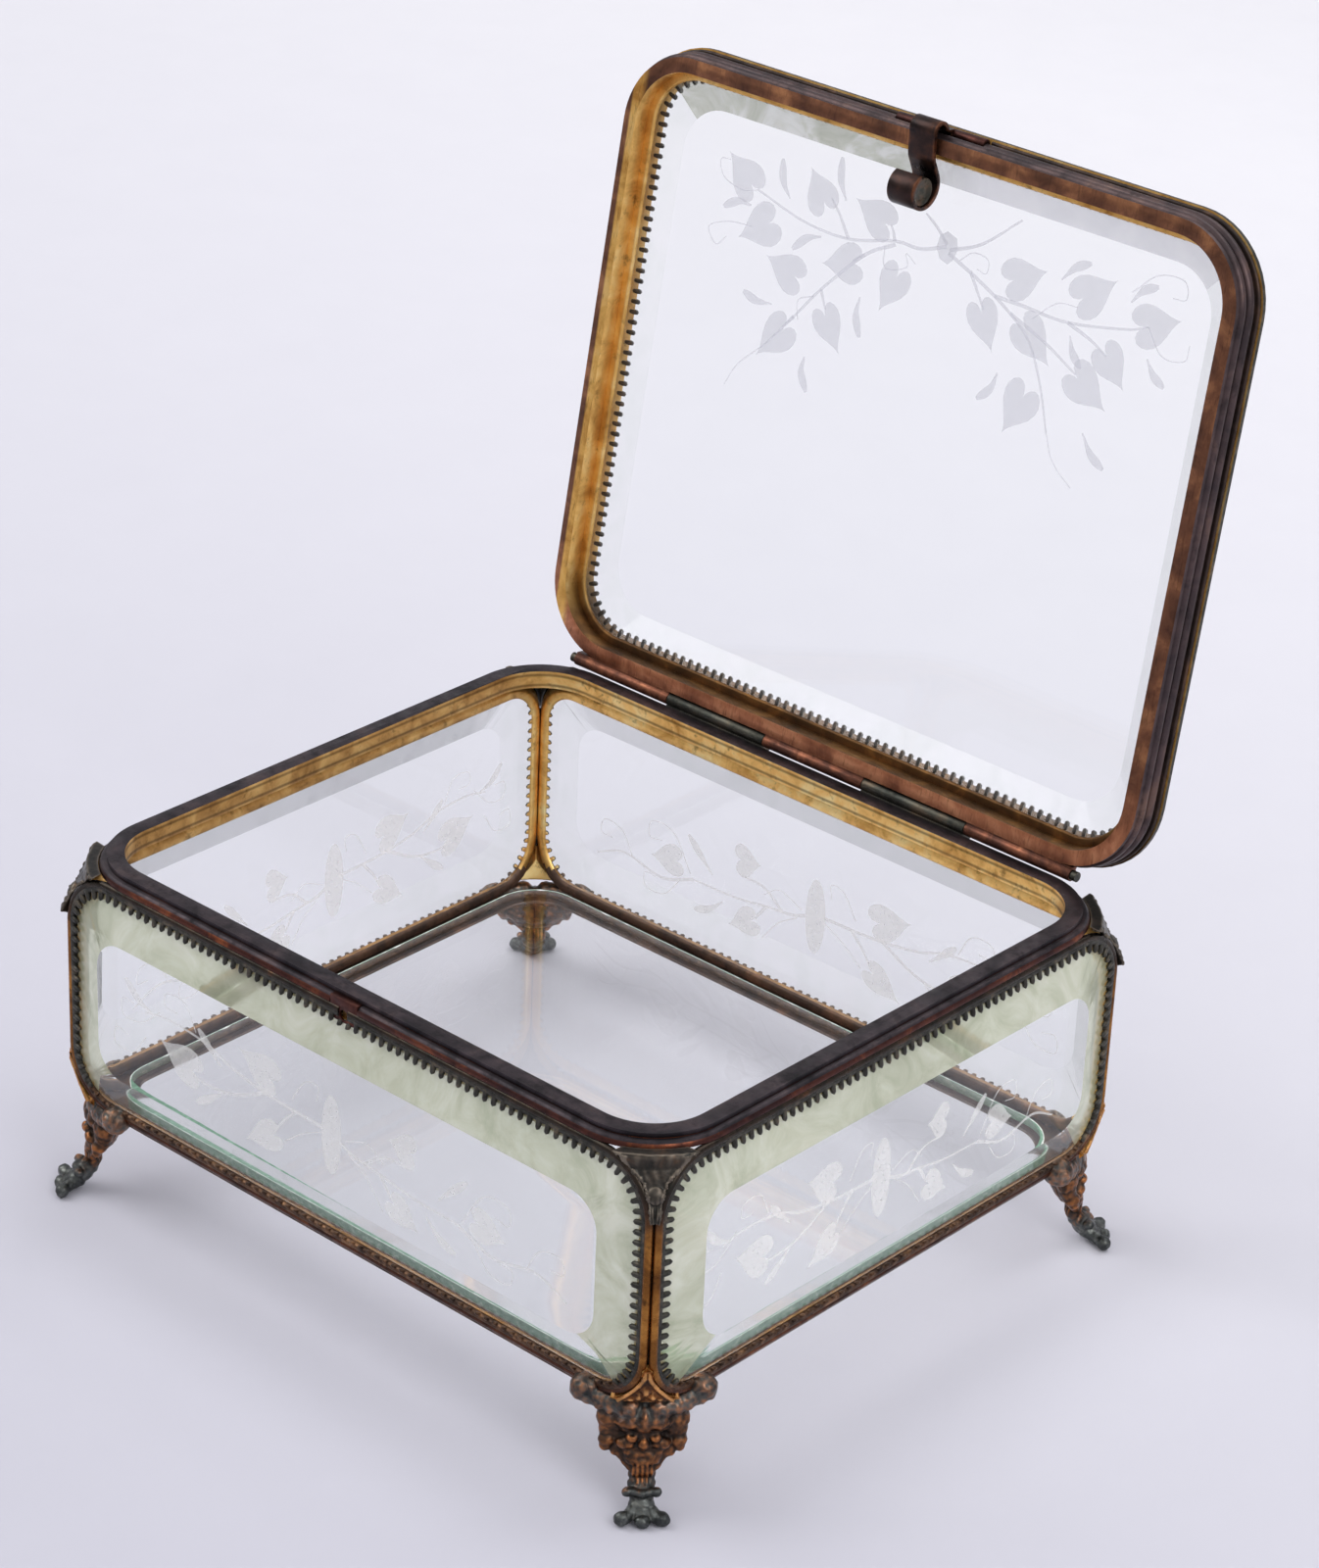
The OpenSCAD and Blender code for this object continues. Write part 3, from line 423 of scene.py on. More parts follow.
def cut_edge_finish():
    """Rough cut edge of the base glass: bottle green in front, brown where it mirrors the ring."""
    f = Finish("Cut edge of base glass")
    x, y = f.axis("X"), f.axis("Y")
    chips = f.cloud(700, 4, 0.7, 0.4)
    far = f.span(f.sum("SUBTRACT", y, x), -0.02, 0.03)
    green = f.ramp(chips, (0.35, 96, 136, 112), (0.55, 122, 164, 138), (0.72, 198, 216, 204))
    brown = f.ramp(chips, (0.36, 70, 56, 48), (0.52, 104, 80, 64), (0.7, 146, 116, 92))
    f.relief(chips, 0.3, 0.0002)
    return f.set(Base_Color=f.mix(far, green, brown), Roughness=f.span(chips, 0.4, 0.7, 0.3, 0.6),
                 Transmission_Weight=0.25, IOR=GLASS_BEND)


def green_edge_finish():
    """Bottle green of a thick edge, paler where it is chipped."""
    f = Finish("Green glass edge")
    chips = f.cloud(900, 5, 0.75, 0.4)
    green = f.ramp(chips, (0.36, 88, 132, 108), (0.56, 116, 158, 134), (0.7, 178, 206, 190))
    return f.set(Base_Color=green, Alpha=0.9, Roughness=0.85, Specular_IOR_Level=0.1)


def frost_finish(name, low, high, cover):
    """Ground or broken glass: pale grains that cover the given share of what is behind."""
    f = Finish(name)
    grain = f.ramp(f.cloud(1800, 2, 0.6), (0.3, *low), (0.7, *high))
    return f.set(Base_Color=grain, Roughness=0.9, Alpha=cover)


# ---------------------------------------------------------------- making pieces

def finish_piece(name, bm, finishes, body, stands_for=(), angle=35.0, mend=True):
    """A mesh in millimetres becomes a piece that rides on its body."""
    if mend:
        bmesh.ops.recalc_face_normals(bm, faces=bm.faces)
    mesh = bpy.data.meshes.new(name)
    bm.to_mesh(mesh)
    bm.free()
    mesh.transform(Matrix.Scale(MM, 4))
    return mesh_piece(name, mesh, finishes, body, stands_for, angle)


def mesh_piece(name, mesh, finishes, body, stands_for=(), angle=35.0):
    for finish in finishes:
        mesh.materials.append(FINISH[finish])
    mesh.polygons.foreach_set("use_smooth", [True] * len(mesh.polygons))
    mesh.set_sharp_from_angle(angle=math.radians(angle))
    mesh.update()
    piece = bpy.data.objects.new(name, mesh)
    bpy.context.scene.collection.objects.link(piece)
    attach(piece, body)
    if stands_for:
        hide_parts(*stands_for)
    return piece


def cad_copy(node, edge=0.0):
    """The node's mesh, merged, in millimetres; its edges can be eased by a small bevel."""
    bm = bmesh.new()
    bm.from_mesh(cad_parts[node].data)
    bmesh.ops.scale(bm, vec=(1000, 1000, 1000), verts=bm.verts)
    bmesh.ops.remove_doubles(bm, verts=bm.verts, dist=0.002)
    bmesh.ops.dissolve_limit(bm, angle_limit=math.radians(0.5), verts=bm.verts, edges=bm.edges)
    if edge:
        hard = [e for e in bm.edges if len(e.link_faces) == 2 and e.calc_face_angle(0) > math.radians(40)]
        bmesh.ops.bevel(bm, geom=hard, offset=edge, segments=2, profile=0.5, affect="EDGES",
                        clamp_overlap=True)
    return bm


def blob(bm, centre, size, turn=(0, 0, 0), detail=3):
    """An egg of the given half sizes, to be melted into its neighbours."""
    place = (Matrix.Translation(centre)
             @ Matrix.Rotation(math.radians(turn[2]), 4, "Z") @ Matrix.Rotation(math.radians(turn[1]), 4, "Y")
             @ Matrix.Rotation(math.radians(turn[0]), 4, "X") @ Matrix.Diagonal((*size, 1)))
    bmesh.ops.create_icosphere(bm, subdivisions=detail, radius=1, matrix=place)


def rope(bm, points, sizes, detail=2):
    """A run of eggs along a bent line, close enough to melt into one roll."""
    for (a, b), (ra, rb) in zip(zip(points, points[1:]), zip(sizes, sizes[1:])):
        a, b = Vector(a), Vector(b)
        steps = max(2, int((b - a).length / (0.35 * min(ra, rb))))
        for i in range(steps + 1):
            t = i / steps
            r = ra + (rb - ra) * t
            blob(bm, a.lerp(b, t), (r, r, r), detail=detail)


def melt(bm, voxel, rounds=4):
    """Overlapping shapes become one skin, smoothed like a casting."""
    mesh = bpy.data.meshes.new("melt")
    bm.to_mesh(mesh)
    bm.free()
    rough = bpy.data.objects.new("melt", mesh)
    bpy.context.scene.collection.objects.link(rough)
    skin = rough.modifiers.new("skin", "REMESH")
    skin.mode, skin.voxel_size = "VOXEL", voxel
    soft = rough.modifiers.new("soft", "SMOOTH")
    soft.factor, soft.iterations = 0.5, rounds
    made = bpy.data.meshes.new_from_object(rough.evaluated_get(bpy.context.evaluated_depsgraph_get()))
    bpy.data.objects.remove(rough)
    bpy.data.meshes.remove(mesh)
    return made


def mark_rubbed(mesh, reach, gain):
    """Stores how far each point stands up or lies low, for worn metal and for grime."""
    bm = bmesh.new()
    bm.from_mesh(mesh)
    bm.normal_update()
    rise = [0.0] * len(bm.verts)
    for v in bm.verts:
        near = [e.other_vert(v).co for e in v.link_edges]
        middle = sum(near, Vector()) / len(near)
        rise[v.index] = (v.co - middle).dot(v.normal)
    links = [[e.other_vert(v).index for e in v.link_edges] for v in bm.verts]
    bm.free()
    for _ in range(reach):
        rise = [0.4 * rise[i] + 0.6 * sum(rise[j] for j in near) / len(near) for i, near in enumerate(links)]
    high = mesh.attributes.new("rubbed", "FLOAT", "POINT")
    low = mesh.attributes.new("hollow", "FLOAT", "POINT")
    high.data.foreach_set("value", [clip(r * gain) for r in rise])
    low.data.foreach_set("value", [clip(-r * gain * 1.2) for r in rise])


# ---------------------------------------------------------------- sweeps round a rounded rectangle

def sweep_round(bm, half_w, half_h, r, section, place, finish=0, steps=12):
    """Carries a closed section (distance from the corner's centre, height) round the rectangle."""
    rings = []
    for cx, cy, start in ((1, 1, 0), (-1, 1, 90), (-1, -1, 180), (1, -1, 270)):
        for k in range(steps + 1):
            a = math.radians(start + 90 * k / steps)
            rings.append([bm.verts.new(place @ Vector((cx * (half_w - r) + u * math.cos(a),
                                                       cy * (half_h - r) + u * math.sin(a), v)))
                          for u, v in section])
    skin(bm, rings, True, finish)


def edge_run(half_w, half_h, r):
    """Length of a rounded rectangle's edge."""
    return 4 * (half_w + half_h) - 8 * r + 2 * math.pi * r


def edge_point(s, w, h, r):
    """Point on the edge of a rounded rectangle, a way s along it, as in the source of the part."""
    b, a, c = 2 * (h - r), 2 * (w - r), math.pi * r / 2
    half = a + b + 2 * c
    s %= 2 * half
    if s >= half:
        x, y = edge_point(s - half, w, h, r)
        return -x, -y
    if s < b:
        return w, s - b / 2
    if s < b + c:
        t = (s - b) / c * math.pi / 2
        return w - r + r * math.cos(t), h - r + r * math.sin(t)
    if s < b + c + a:
        return a / 2 - (s - b - c), h
    t = (s - b - c - a) / c * math.pi / 2
    return r - w - r * math.sin(t), h - r + r * math.cos(t)


def tooth_tree():
    """Rounded teeth set at even steps along a closed line, pointing to its left."""
    tree = bpy.data.node_groups.new("Row of teeth", "GeometryNodeTree")
    face = tree.interface
    face.new_socket("Geometry", in_out="INPUT", socket_type="NodeSocketGeometry")
    for label, value in (("Tooth width", 1.15), ("Tooth reach", 1.8), ("Tooth height", 0.55), ("Tilt", 0.28),
                         ("Short side", -1000.0), ("Short share", 0.36), ("Short rise", 2.5)):
        face.new_socket(label, in_out="INPUT", socket_type="NodeSocketFloat").default_value = value
    face.new_socket("Tooth count", in_out="INPUT", socket_type="NodeSocketInt").default_value = 100
    face.new_socket("Finish", in_out="INPUT", socket_type="NodeSocketMaterial")
    face.new_socket("Geometry", in_out="OUTPUT", socket_type="NodeSocketGeometry")

    def put(socket, value):
        if hasattr(value, "is_output"):
            tree.links.new(value, socket)
        else:
            socket.default_value = value

    def add(kind, **inputs):
        node = tree.nodes.new(kind)
        for key, value in inputs.items():
            put(node.inputs[key.replace("_", " ")], value)
        return node.outputs[0]

    def work(kind, *values):
        node = tree.nodes.new("ShaderNodeMath")
        node.operation = kind
        for socket, value in zip(node.inputs, values):
            put(socket, value)
        return node.outputs[0]

    given = tree.nodes.new("NodeGroupInput").outputs
    apart = tree.nodes.new("ShaderNodeSeparateXYZ")
    put(apart.inputs[0], add("GeometryNodeInputPosition"))
    ball = add("GeometryNodeMeshUVSphere", Segments=TOOTH_SIDES, Rings=TOOTH_RINGS, Radius=1.0)
    blunt = {axis: work("MULTIPLY", work("POWER", work("ABSOLUTE", apart.outputs[axis]), power),
                        work("SIGN", apart.outputs[axis]))
             for axis, power in (("X", 0.8), ("Y", 0.6), ("Z", 0.9))}
    tooth = add("GeometryNodeSetPosition", Geometry=ball, Position=add("ShaderNodeCombineXYZ", **blunt))
    size = add("ShaderNodeCombineXYZ", X=work("MULTIPLY", given["Tooth width"], 0.5),
               Y=given["Tooth reach"], Z=given["Tooth height"])
    tooth = add("GeometryNodeTransform", Geometry=tooth, Scale=size)
    tooth = add("GeometryNodeTransform", Geometry=tooth,
                Rotation=add("ShaderNodeCombineXYZ", X=given["Tilt"]))
    turn = tree.nodes.new("FunctionNodeAlignRotationToVector")
    turn.axis, turn.pivot_axis = "X", "Z"
    put(turn.inputs["Vector"], add("GeometryNodeInputTangent"))
    short = given["Short side"]
    share = add("ShaderNodeMapRange", Value=apart.outputs["Y"], From_Min=short,
                From_Max=work("ADD", short, given["Short rise"]), To_Min=given["Short share"])
    line = add("GeometryNodeMeshToCurve", Mesh=given["Geometry"])
    row = add("GeometryNodeInstanceOnPoints", Instance=tooth, Rotation=turn.outputs[0],
              Points=add("GeometryNodeResampleCurve", Curve=line, Count=given["Tooth count"]),
              Scale=add("ShaderNodeCombineXYZ", X=1.0, Y=share, Z=1.0))
    row = add("GeometryNodeSetMaterial", Geometry=add("GeometryNodeRealizeInstances", Geometry=row),
              Material=given["Finish"])
    put(tree.nodes.new("NodeGroupOutput").inputs["Geometry"], row)
    return tree


def teeth_row(tree, half_w, half_h, r, height, reach, tilt, finish, short=False):
    """One row of teeth as a plain mesh in its own plane, in millimetres, tips where the source has them."""
    run = edge_run(half_w, half_h, r)
    count = 2 * int(run / TOOTH_PITCH / 2)
    first = run * 1.3 / (2 * count)
    steps = 720
    mesh = bpy.data.meshes.new("tooth line")
    ways = [first + run * i / steps for i in range(steps)]
    mesh.from_pydata([(*edge_point(way, half_w, half_h, r), height) for way in ways],
                     [(i, (i + 1) % steps) for i in range(steps)], [])
    line = bpy.data.objects.new("tooth line", mesh)
    bpy.context.scene.collection.objects.link(line)
    rows = line.modifiers.new("teeth", "NODES")
    rows.node_group = tree
    keys = {item.name: item.identifier for item in tree.interface.items_tree if item.in_out == "INPUT"}
    rows[keys["Tooth count"]] = count
    rows[keys["Tooth reach"]] = reach
    rows[keys["Tilt"]] = tilt
    rows[keys["Short side"]] = -half_h + 0.3 if short else -1000.0
    rows[keys["Finish"]] = FINISH[finish]
    made = bpy.data.meshes.new_from_object(line.evaluated_get(bpy.context.evaluated_depsgraph_get()))
    bpy.data.objects.remove(line)
    return made


# ---------------------------------------------------------------- glass

def ease_corners(bm, place, r):
    """Rounds the corners of the flat middle, so that the slope is widest there."""
    back = place.inverted()
    lie = {v: back @ v.co for v in bm.verts}
    top = max(p.z for p in lie.values())
    ring = [v for v in bm.verts if lie[v].z > top - 0.01]
    w, h = (max(abs(lie[v][axis]) for v in ring) for axis in (0, 1))
    old = h - max(abs(lie[v].y) for v in ring if abs(lie[v].x) > w - 0.01)
    for v in ring:
        p = lie[v]
        x, y = abs(p.x) - (w - old), abs(p.y) - (h - old)
        if x > -0.01 and y > -0.01:
            a = math.atan2(max(0.0, y), max(0.0, x))
            v.co = place @ Vector((math.copysign(w - r + r * math.cos(a), p.x),
                                   math.copysign(h - r + r * math.sin(a), p.y), p.z))


def glass_sheet(node, place, body, green, edge="edge", pale=(), round_to=0.0):
    """The node's sheet; as directions in its own plane, green gives the slopes painted pale green, partly the
    glass's own tint and partly a painted reflection, and pale gives the slopes with the lid's painted
    reflection and shade.
    """
    bm = cad_copy(node)
    if round_to:
        ease_corners(bm, place, round_to)
    back = place.to_3x3().inverted()
    for face in bm.faces:
        n = back @ face.normal
        if abs(n.z) > 0.985:
            face.material_index = 0
        elif abs(n.z) > 0.5:
            # Slopes facing a green direction get pale green, partly a painted reflection; slopes facing a pale
            # one get the lid's painted reflection and shade; the rest stay clear
            face.material_index = (1 if any(n.x * x + n.y * y > 0.12 for x, y in green)
                                   else 4 if any(n.x * x + n.y * y > 0.2 for x, y in pale) else 2)
        else:
            face.material_index = 3
    sheet = finish_piece(node + "_sheet", bm, ["glass", "bevel", "clear_bevel", edge, "lid_bevel"], body,
                         [node], 8.0, mend=False)
    sheet.visible_shadow = False
    return sheet


def heart(centre, tip, width):
    """Outline of an ivy leaf: two lobes at the stalk, a drawn out tip."""
    centre, tip = Vector(centre), Vector(tip)
    out = (tip - centre)
    reach = out.length * 0.86
    width *= 1.22
    out.normalize()
    side = Vector((-out.y, out.x))
    outline = []
    for i in range(30):
        a = 2 * math.pi * i / 30
        along = -(13 * math.cos(a) - 5 * math.cos(2 * a) - 2 * math.cos(3 * a) - math.cos(4 * a)) / 17
        across = math.sin(a) ** 3
        if along > 0:
            along, across = along ** 0.9, across * (1 - 0.25 * along)
        outline.append(centre + out * along * reach + side * across * width / 2)
    return outline


def drop(start, middle, end):
    """Outline of a bud on its stalk: thin at the start, round at the far end."""
    left, right = stroke([start, middle, end], 0.35, 0.35, 5)
    along = [i / (len(left) - 1) for i in range(len(left))]
    grow = [0.35 + 1.5 * math.sin(math.pi * min(1.0, way ** 1.6 * 0.93)) for way in along]
    mids = [(a + b) / 2 for a, b in zip(left, right)]
    side = [(a - b).normalized() for a, b in zip(left, right)]
    ring = [m + n * g / 2 for m, n, g in zip(mids, side, grow)]
    ring += [m - n * g / 2 for m, n, g in reversed(list(zip(mids, side, grow)))]
    return ring


def stroke(points, start, end, rounds=8):
    """Outline of an engraved line that swells and thins along a smooth bend."""
    pts = [Vector(p) for p in points]
    ends = [pts[0] * 2 - pts[1]] + pts + [pts[-1] * 2 - pts[-2]]
    line = []
    for i in range(1, len(ends) - 2):
        p0, p1, p2, p3 = ends[i - 1:i + 3]
        for k in range(rounds):
            t = k / rounds
            line.append(0.5 * (2 * p1 + (p2 - p0) * t + (2 * p0 - 5 * p1 + 4 * p2 - p3) * t * t
                               + (3 * p1 - p0 - 3 * p2 + p3) * t ** 3))
    line.append(pts[-1])
    left, right = [], []
    for i, p in enumerate(line):
        way = (line[min(i + 1, len(line) - 1)] - line[max(i - 1, 0)]).normalized()
        half = (start + (end - start) * i / (len(line) - 1)) / 2
        left.append(p + Vector((-way.y, way.x)) * half)
        right.append(p - Vector((-way.y, way.x)) * half)
    return left, right


def etch(name, shapes, place, low, high, body, finish="frost"):
    """Leaves, stalks and tendrils as a thin frost on the face of a glass."""
    bm = bmesh.new()
    for kind, data in shapes:
        if kind == "fill":
            layers = [[bm.verts.new(place @ Vector((p.x, p.y, z))) for p in data] for z in (low, high)]
            middle = sum(data, Vector((0, 0))) / len(data)
            hubs = [bm.verts.new(place @ Vector((middle.x, middle.y, z))) for z in (low, high)]
            count = len(data)
            for i in range(count):
                j = (i + 1) % count
                bm.faces.new((layers[0][j], layers[0][i], hubs[0]))
                bm.faces.new((layers[1][i], layers[1][j], hubs[1]))
                bm.faces.new((layers[0][i], layers[0][j], layers[1][j], layers[1][i]))
        else:
            left, right = data
            rings = [[bm.verts.new(place @ Vector((p.x, p.y, z))) for p, z in
                      ((a, low), (b, low), (b, high), (a, high))] for a, b in zip(left, right)]
            skin(bm, rings)
            bm.faces.new(rings[0])
            bm.faces.new(reversed(rings[-1]))
    frost = finish_piece(name, bm, [finish], body, angle=30)
    frost.visible_shadow = False
    return frost


def spray(leaves, buds, lines, fine):
    """Outlines of an ivy spray: leaves, buds, stalks and hair-thin tendrils."""
    shapes = [("fill", heart(c, t, w)) for c, t, w in leaves]
    shapes += [("fill", drop(a, b, c)) for a, b, c in buds]
    shapes += [("line", stroke(points, 0.8, 0.4)) for points in lines]
    shapes += [("line", stroke(points, 0.24, 0.18)) for points in fine]
    return shapes


def panel_engraving(name, place, depth, stretch):
    """Two ivy sprays out of an upright tie, as on each wall."""
    s = stretch
    right = spray(
        [((15.2, 2.0), (10.4, 2.6), 6.2), ((14.6, -11.6), (20.0, -14.4), 5.4),
         ((35.8, -5.4), (42.0, -6.4), 6.0)],
        [((24.0, -4.5), (27.5, -1.2), (31.0, 2.2)), ((21.0, -9.5), (24.5, -12.6), (28.6, -14.2))],
        [[(-1.0, -4.0), (2.6, -5.2), (9.3, -6.0), (17.9, -7.2), (29.1, -7.6)],
         [(29.1, -7.6), (38.0, -10.5), (48.3, -8.7), (56.0, -11.5)],
         [(9.3, -6.0), (11.5, -9.0), (12.0, -10.0)], [(5.0, -5.6), (10.0, -2.0), (16.0, -1.5)]],
        [[(0.0, -3.0), (6.0, -1.0), (10.0, -3.5)],
         [(30.0, -6.6), (35.0, 1.0), (41.0, 1.5), (41.5, -2.2), (38.0, -2.0)],
         [(33.0, -9.5), (37.0, -14.0), (42.0, -14.2), (42.5, -11.0), (39.5, -11.0)],
         [(46.0, -9.0), (49.0, -4.0), (54.0, -3.0), (55.0, -6.2), (51.8, -6.6)],
         [(1.0, -5.2), (6.0, -8.5), (10.0, -13.5)]])
    left = spray(
        [((-22.0, 2.6), (-29.2, 5.2), 6.8), ((-21.0, -11.0), (-27.4, -14.4), 5.4),
         ((-43.4, -4.8), (-51.2, -2.2), 7.0)],
        [((-33.0, -1.5), (-36.5, 1.5), (-39.4, 4.2)), ((-32.0, -6.5), (-36.0, -9.5), (-40.0, -12.0)),
         ((-52.0, 2.0), (-56.0, 3.4), (-59.6, 6.8))],
        [[(-5.0, -2.6), (-13.0, -2.4), (-20.9, -1.9), (-29.9, -0.5), (-37.0, 1.8), (-47.1, 2.6), (-54.0, 1.6)],
         [(-13.0, -2.4), (-16.5, -6.0), (-18.5, -9.0)],
         [(-20.9, -1.9), (-30.0, -6.0), (-38.0, -7.0), (-42.0, -6.0)]],
        [[(-6.0, -3.6), (-11.0, -6.2), (-16.0, -10.0)],
         [(-40.0, 3.0), (-43.0, 8.0), (-48.0, 8.0), (-48.4, 5.2), (-45.0, 5.0)],
         [(-50.0, 3.2), (-55.0, -1.0), (-60.0, -1.6), (-60.6, 2.0), (-57.2, 2.2)],
         [(-54.0, -4.0), (-57.6, -8.6), (-62.6, -8.6), (-62.4, -5.0), (-59.0, -5.4)],
         [(-14.0, 0.0), (-10.6, 5.0), (-7.2, 5.4), (-7.6, 2.2)]])
    tie = [Vector((-3.6 * s + 2.6 * x, -3.2 + 8.4 * y)) for x, y in circle(28)]
    shapes = [("fill", tie)]
    for kind, data in left + right:
        if kind == "fill":
            shapes.append((kind, [Vector((p.x * s, p.y)) for p in data]))
        else:
            shapes.append((kind, tuple([Vector((p.x * s, p.y)) for p in edge] for edge in data)))
    return etch(name, shapes, place, depth - 0.05, depth - 0.02, "casket")


def lid_engraving(place, low, high):
    """Two ivy branches tied together near the lid's front edge; the middle of the lid stays bare."""
    leaves = [((-45.5, -42.8), (-51.4, -47.2), 7.0), ((-26.4, -44.4), (-30.4, -49.6), 6.6),
              ((-11.8, -43.6), (-18.8, -46.2), 6.6), ((-39.6, -34.2), (-46.0, -30.0), 7.4),
              ((-17.6, -32.8), (-24.4, -31.0), 6.8), ((-31.4, -27.4), (-38.4, -29.4), 6.6),
              ((-5.6, -31.8), (-8.2, -25.0), 6.2), ((-31.6, -14.2), (-36.6, -8.2), 6.6),
              ((-19.2, -19.8), (-15.0, -14.2), 5.8), ((24.0, -41.4), (30.6, -44.8), 6.8),
              ((40.2, -42.8), (46.4, -47.6), 7.0), ((55.0, -41.0), (62.0, -44.0), 7.0),
              ((17.2, -31.0), (20.8, -24.8), 6.2), ((28.6, -31.0), (34.6, -26.2), 7.0),
              ((47.2, -31.4), (51.8, -26.6), 6.2), ((42.4, -25.6), (49.0, -21.8), 7.0),
              ((28.4, -17.8), (25.4, -10.6), 7.0)]
    buds = [((-33.7, -41.4), (-36.0, -44.2), (-37.0, -48.6)), ((-20.0, -44.6), (-22.0, -48.0), (-22.6, -52.6)),
            ((-43.0, -37.6), (-46.4, -37.6), (-50.0, -35.6)), ((-24.6, -36.2), (-28.0, -35.0), (-31.2, -32.0)),
            ((-34.0, -20.0), (-38.0, -19.6), (-41.6, -20.6)), ((-12.8, -27.4), (-13.0, -23.6), (-11.4, -19.6)),
            ((-23.8, -12.2), (-24.0, -9.0), (-22.0, -5.4)), ((33.0, -43.6), (35.6, -46.6), (39.0, -48.4)),
            ((49.2, -43.8), (51.4, -46.6), (54.6, -48.2)), ((37.2, -34.0), (38.4, -31.0), (40.8, -28.6)),
            ((55.0, -34.6), (57.0, -32.0), (59.8, -30.4)), ((22.4, -22.4), (21.4, -19.0), (18.6, -16.2)),
            ((44.0, -17.0), (46.6, -13.6), (50.0, -11.6))]
    lines = [[(5.5, -42.4), (-0.5, -40.4), (-6.8, -40.2), (-18.0, -37.6), (-29.4, -38.0), (-41.9, -41.0)],
             [(-6.5, -39.6), (-13.4, -35.6), (-22.5, -26.2), (-28.0, -19.2), (-34.2, -11.6)],
             [(-18.0, -37.6), (-21.0, -41.6), (-23.6, -44.2)], [(-6.8, -40.2), (-7.6, -42.0), (-8.4, -43.0)],
             [(5.6, -42.8), (2.6, -45.4), (-0.6, -47.4)], [(6.4, -42.0), (13.7, -45.2), (21.8, -52.0)],
             [(6.2, -41.4), (14.5, -38.2), (22.8, -34.2), (28.4, -30.0), (32.7, -22.6), (35.9, -14.5)],
             [(18.6, -36.4), (25.5, -36.4), (36.1, -36.2), (49.1, -38.6), (54.0, -40.4)],
             [(22.8, -34.2), (32.0, -31.0), (40.0, -27.2)], [(12.0, -39.4), (15.0, -35.4), (16.6, -33.2)],
             [(36.1, -36.2), (42.0, -34.4), (46.0, -32.4)], [(-22.5, -26.2), (-20.6, -22.6)],
             [(-28.0, -19.2), (-30.4, -16.4)], [(-13.4, -35.6), (-16.0, -33.8)]]
    fine = [[(-41.9, -41.0), (-46.0, -40.0), (-51.0, -41.4), (-52.4, -44.6), (-49.8, -45.0)],
            [(-42.0, -33.6), (-48.0, -33.0), (-52.8, -30.8), (-50.4, -27.8), (-48.0, -30.0)],
            [(-9.0, -38.6), (-8.0, -34.6), (-3.0, -36.0), (-3.6, -38.6), (-1.0, -37.2)],
            [(9.0, -40.6), (12.0, -43.0), (15.6, -42.6), (15.8, -40.0), (13.4, -40.2)],
            [(54.0, -40.4), (58.0, -36.0), (63.0, -36.4), (63.6, -39.6)],
            [(49.0, -45.6), (54.0, -50.2), (59.8, -50.8), (61.0, -47.6), (58.0, -47.0)],
            [(-34.2, -11.6), (-40.0, -6.0), (-42.6, -1.0)], [(35.9, -14.5), (38.6, -9.6), (43.6, -6.0)],
            [(28.0, -34.6), (33.0, -39.0), (38.0, -39.6)], [(-24.0, -24.4), (-27.6, -22.6), (-27.0, -18.8)]]
    shapes = spray(leaves, buds, lines, fine)
    knot = [(5.2, -45.4), (7.6, -44.6), (8.2, -42.6), (7.6, -40.4), (6.4, -39.2), (4.4, -39.8), (3.2, -41.8),
            (3.6, -44.2)]
    shapes.append(("fill", [Vector(p) for p in knot]))
    return etch("lid_engraving", shapes, place, low, high, "lid", "lid_frost_painted_shade")


# ---------------------------------------------------------------- metal frame

def open_for_catch(bm, place):
    """Cuts the front reed and band where the catch pin enters behind the keeper plate."""
    for at in (-CATCH_HALF, CATCH_HALF):
        bmesh.ops.bisect_plane(bm, geom=bm.verts[:] + bm.edges[:] + bm.faces[:], dist=1e-5,
                               plane_co=(at, 0, 0), plane_no=(1, 0, 0))
    back = place.inverted()
    gone = [f for f in bm.faces if abs(f.calc_center_median().x) < CATCH_HALF - 0.1
            and (back @ f.calc_center_median()).y > WALL_HALF - 2.0 and f.material_index < 2]
    bmesh.ops.delete(bm, geom=gone, context="FACES")
    bmesh.ops.holes_fill(bm, edges=[e for e in bm.edges if e.is_boundary], sides=40)


def shorten_under_catch(bm, count):
    """Keeps the teeth below the catch pin, where the last count points are the row of teeth."""
    bm.verts.ensure_lookup_table()
    points = bm.verts[-count:]
    for i in range(0, count, TOOTH_POINTS):
        tooth = points[i:i + TOOTH_POINTS]
        if tooth[0].co.z > WALL_MID and abs(sum(v.co.x for v in tooth) / TOOTH_POINTS) < 1.9:
            tip = min(v.co.z for v in tooth)
            for v in tooth:
                v.co.z = tip + (v.co.z - tip) * 0.38


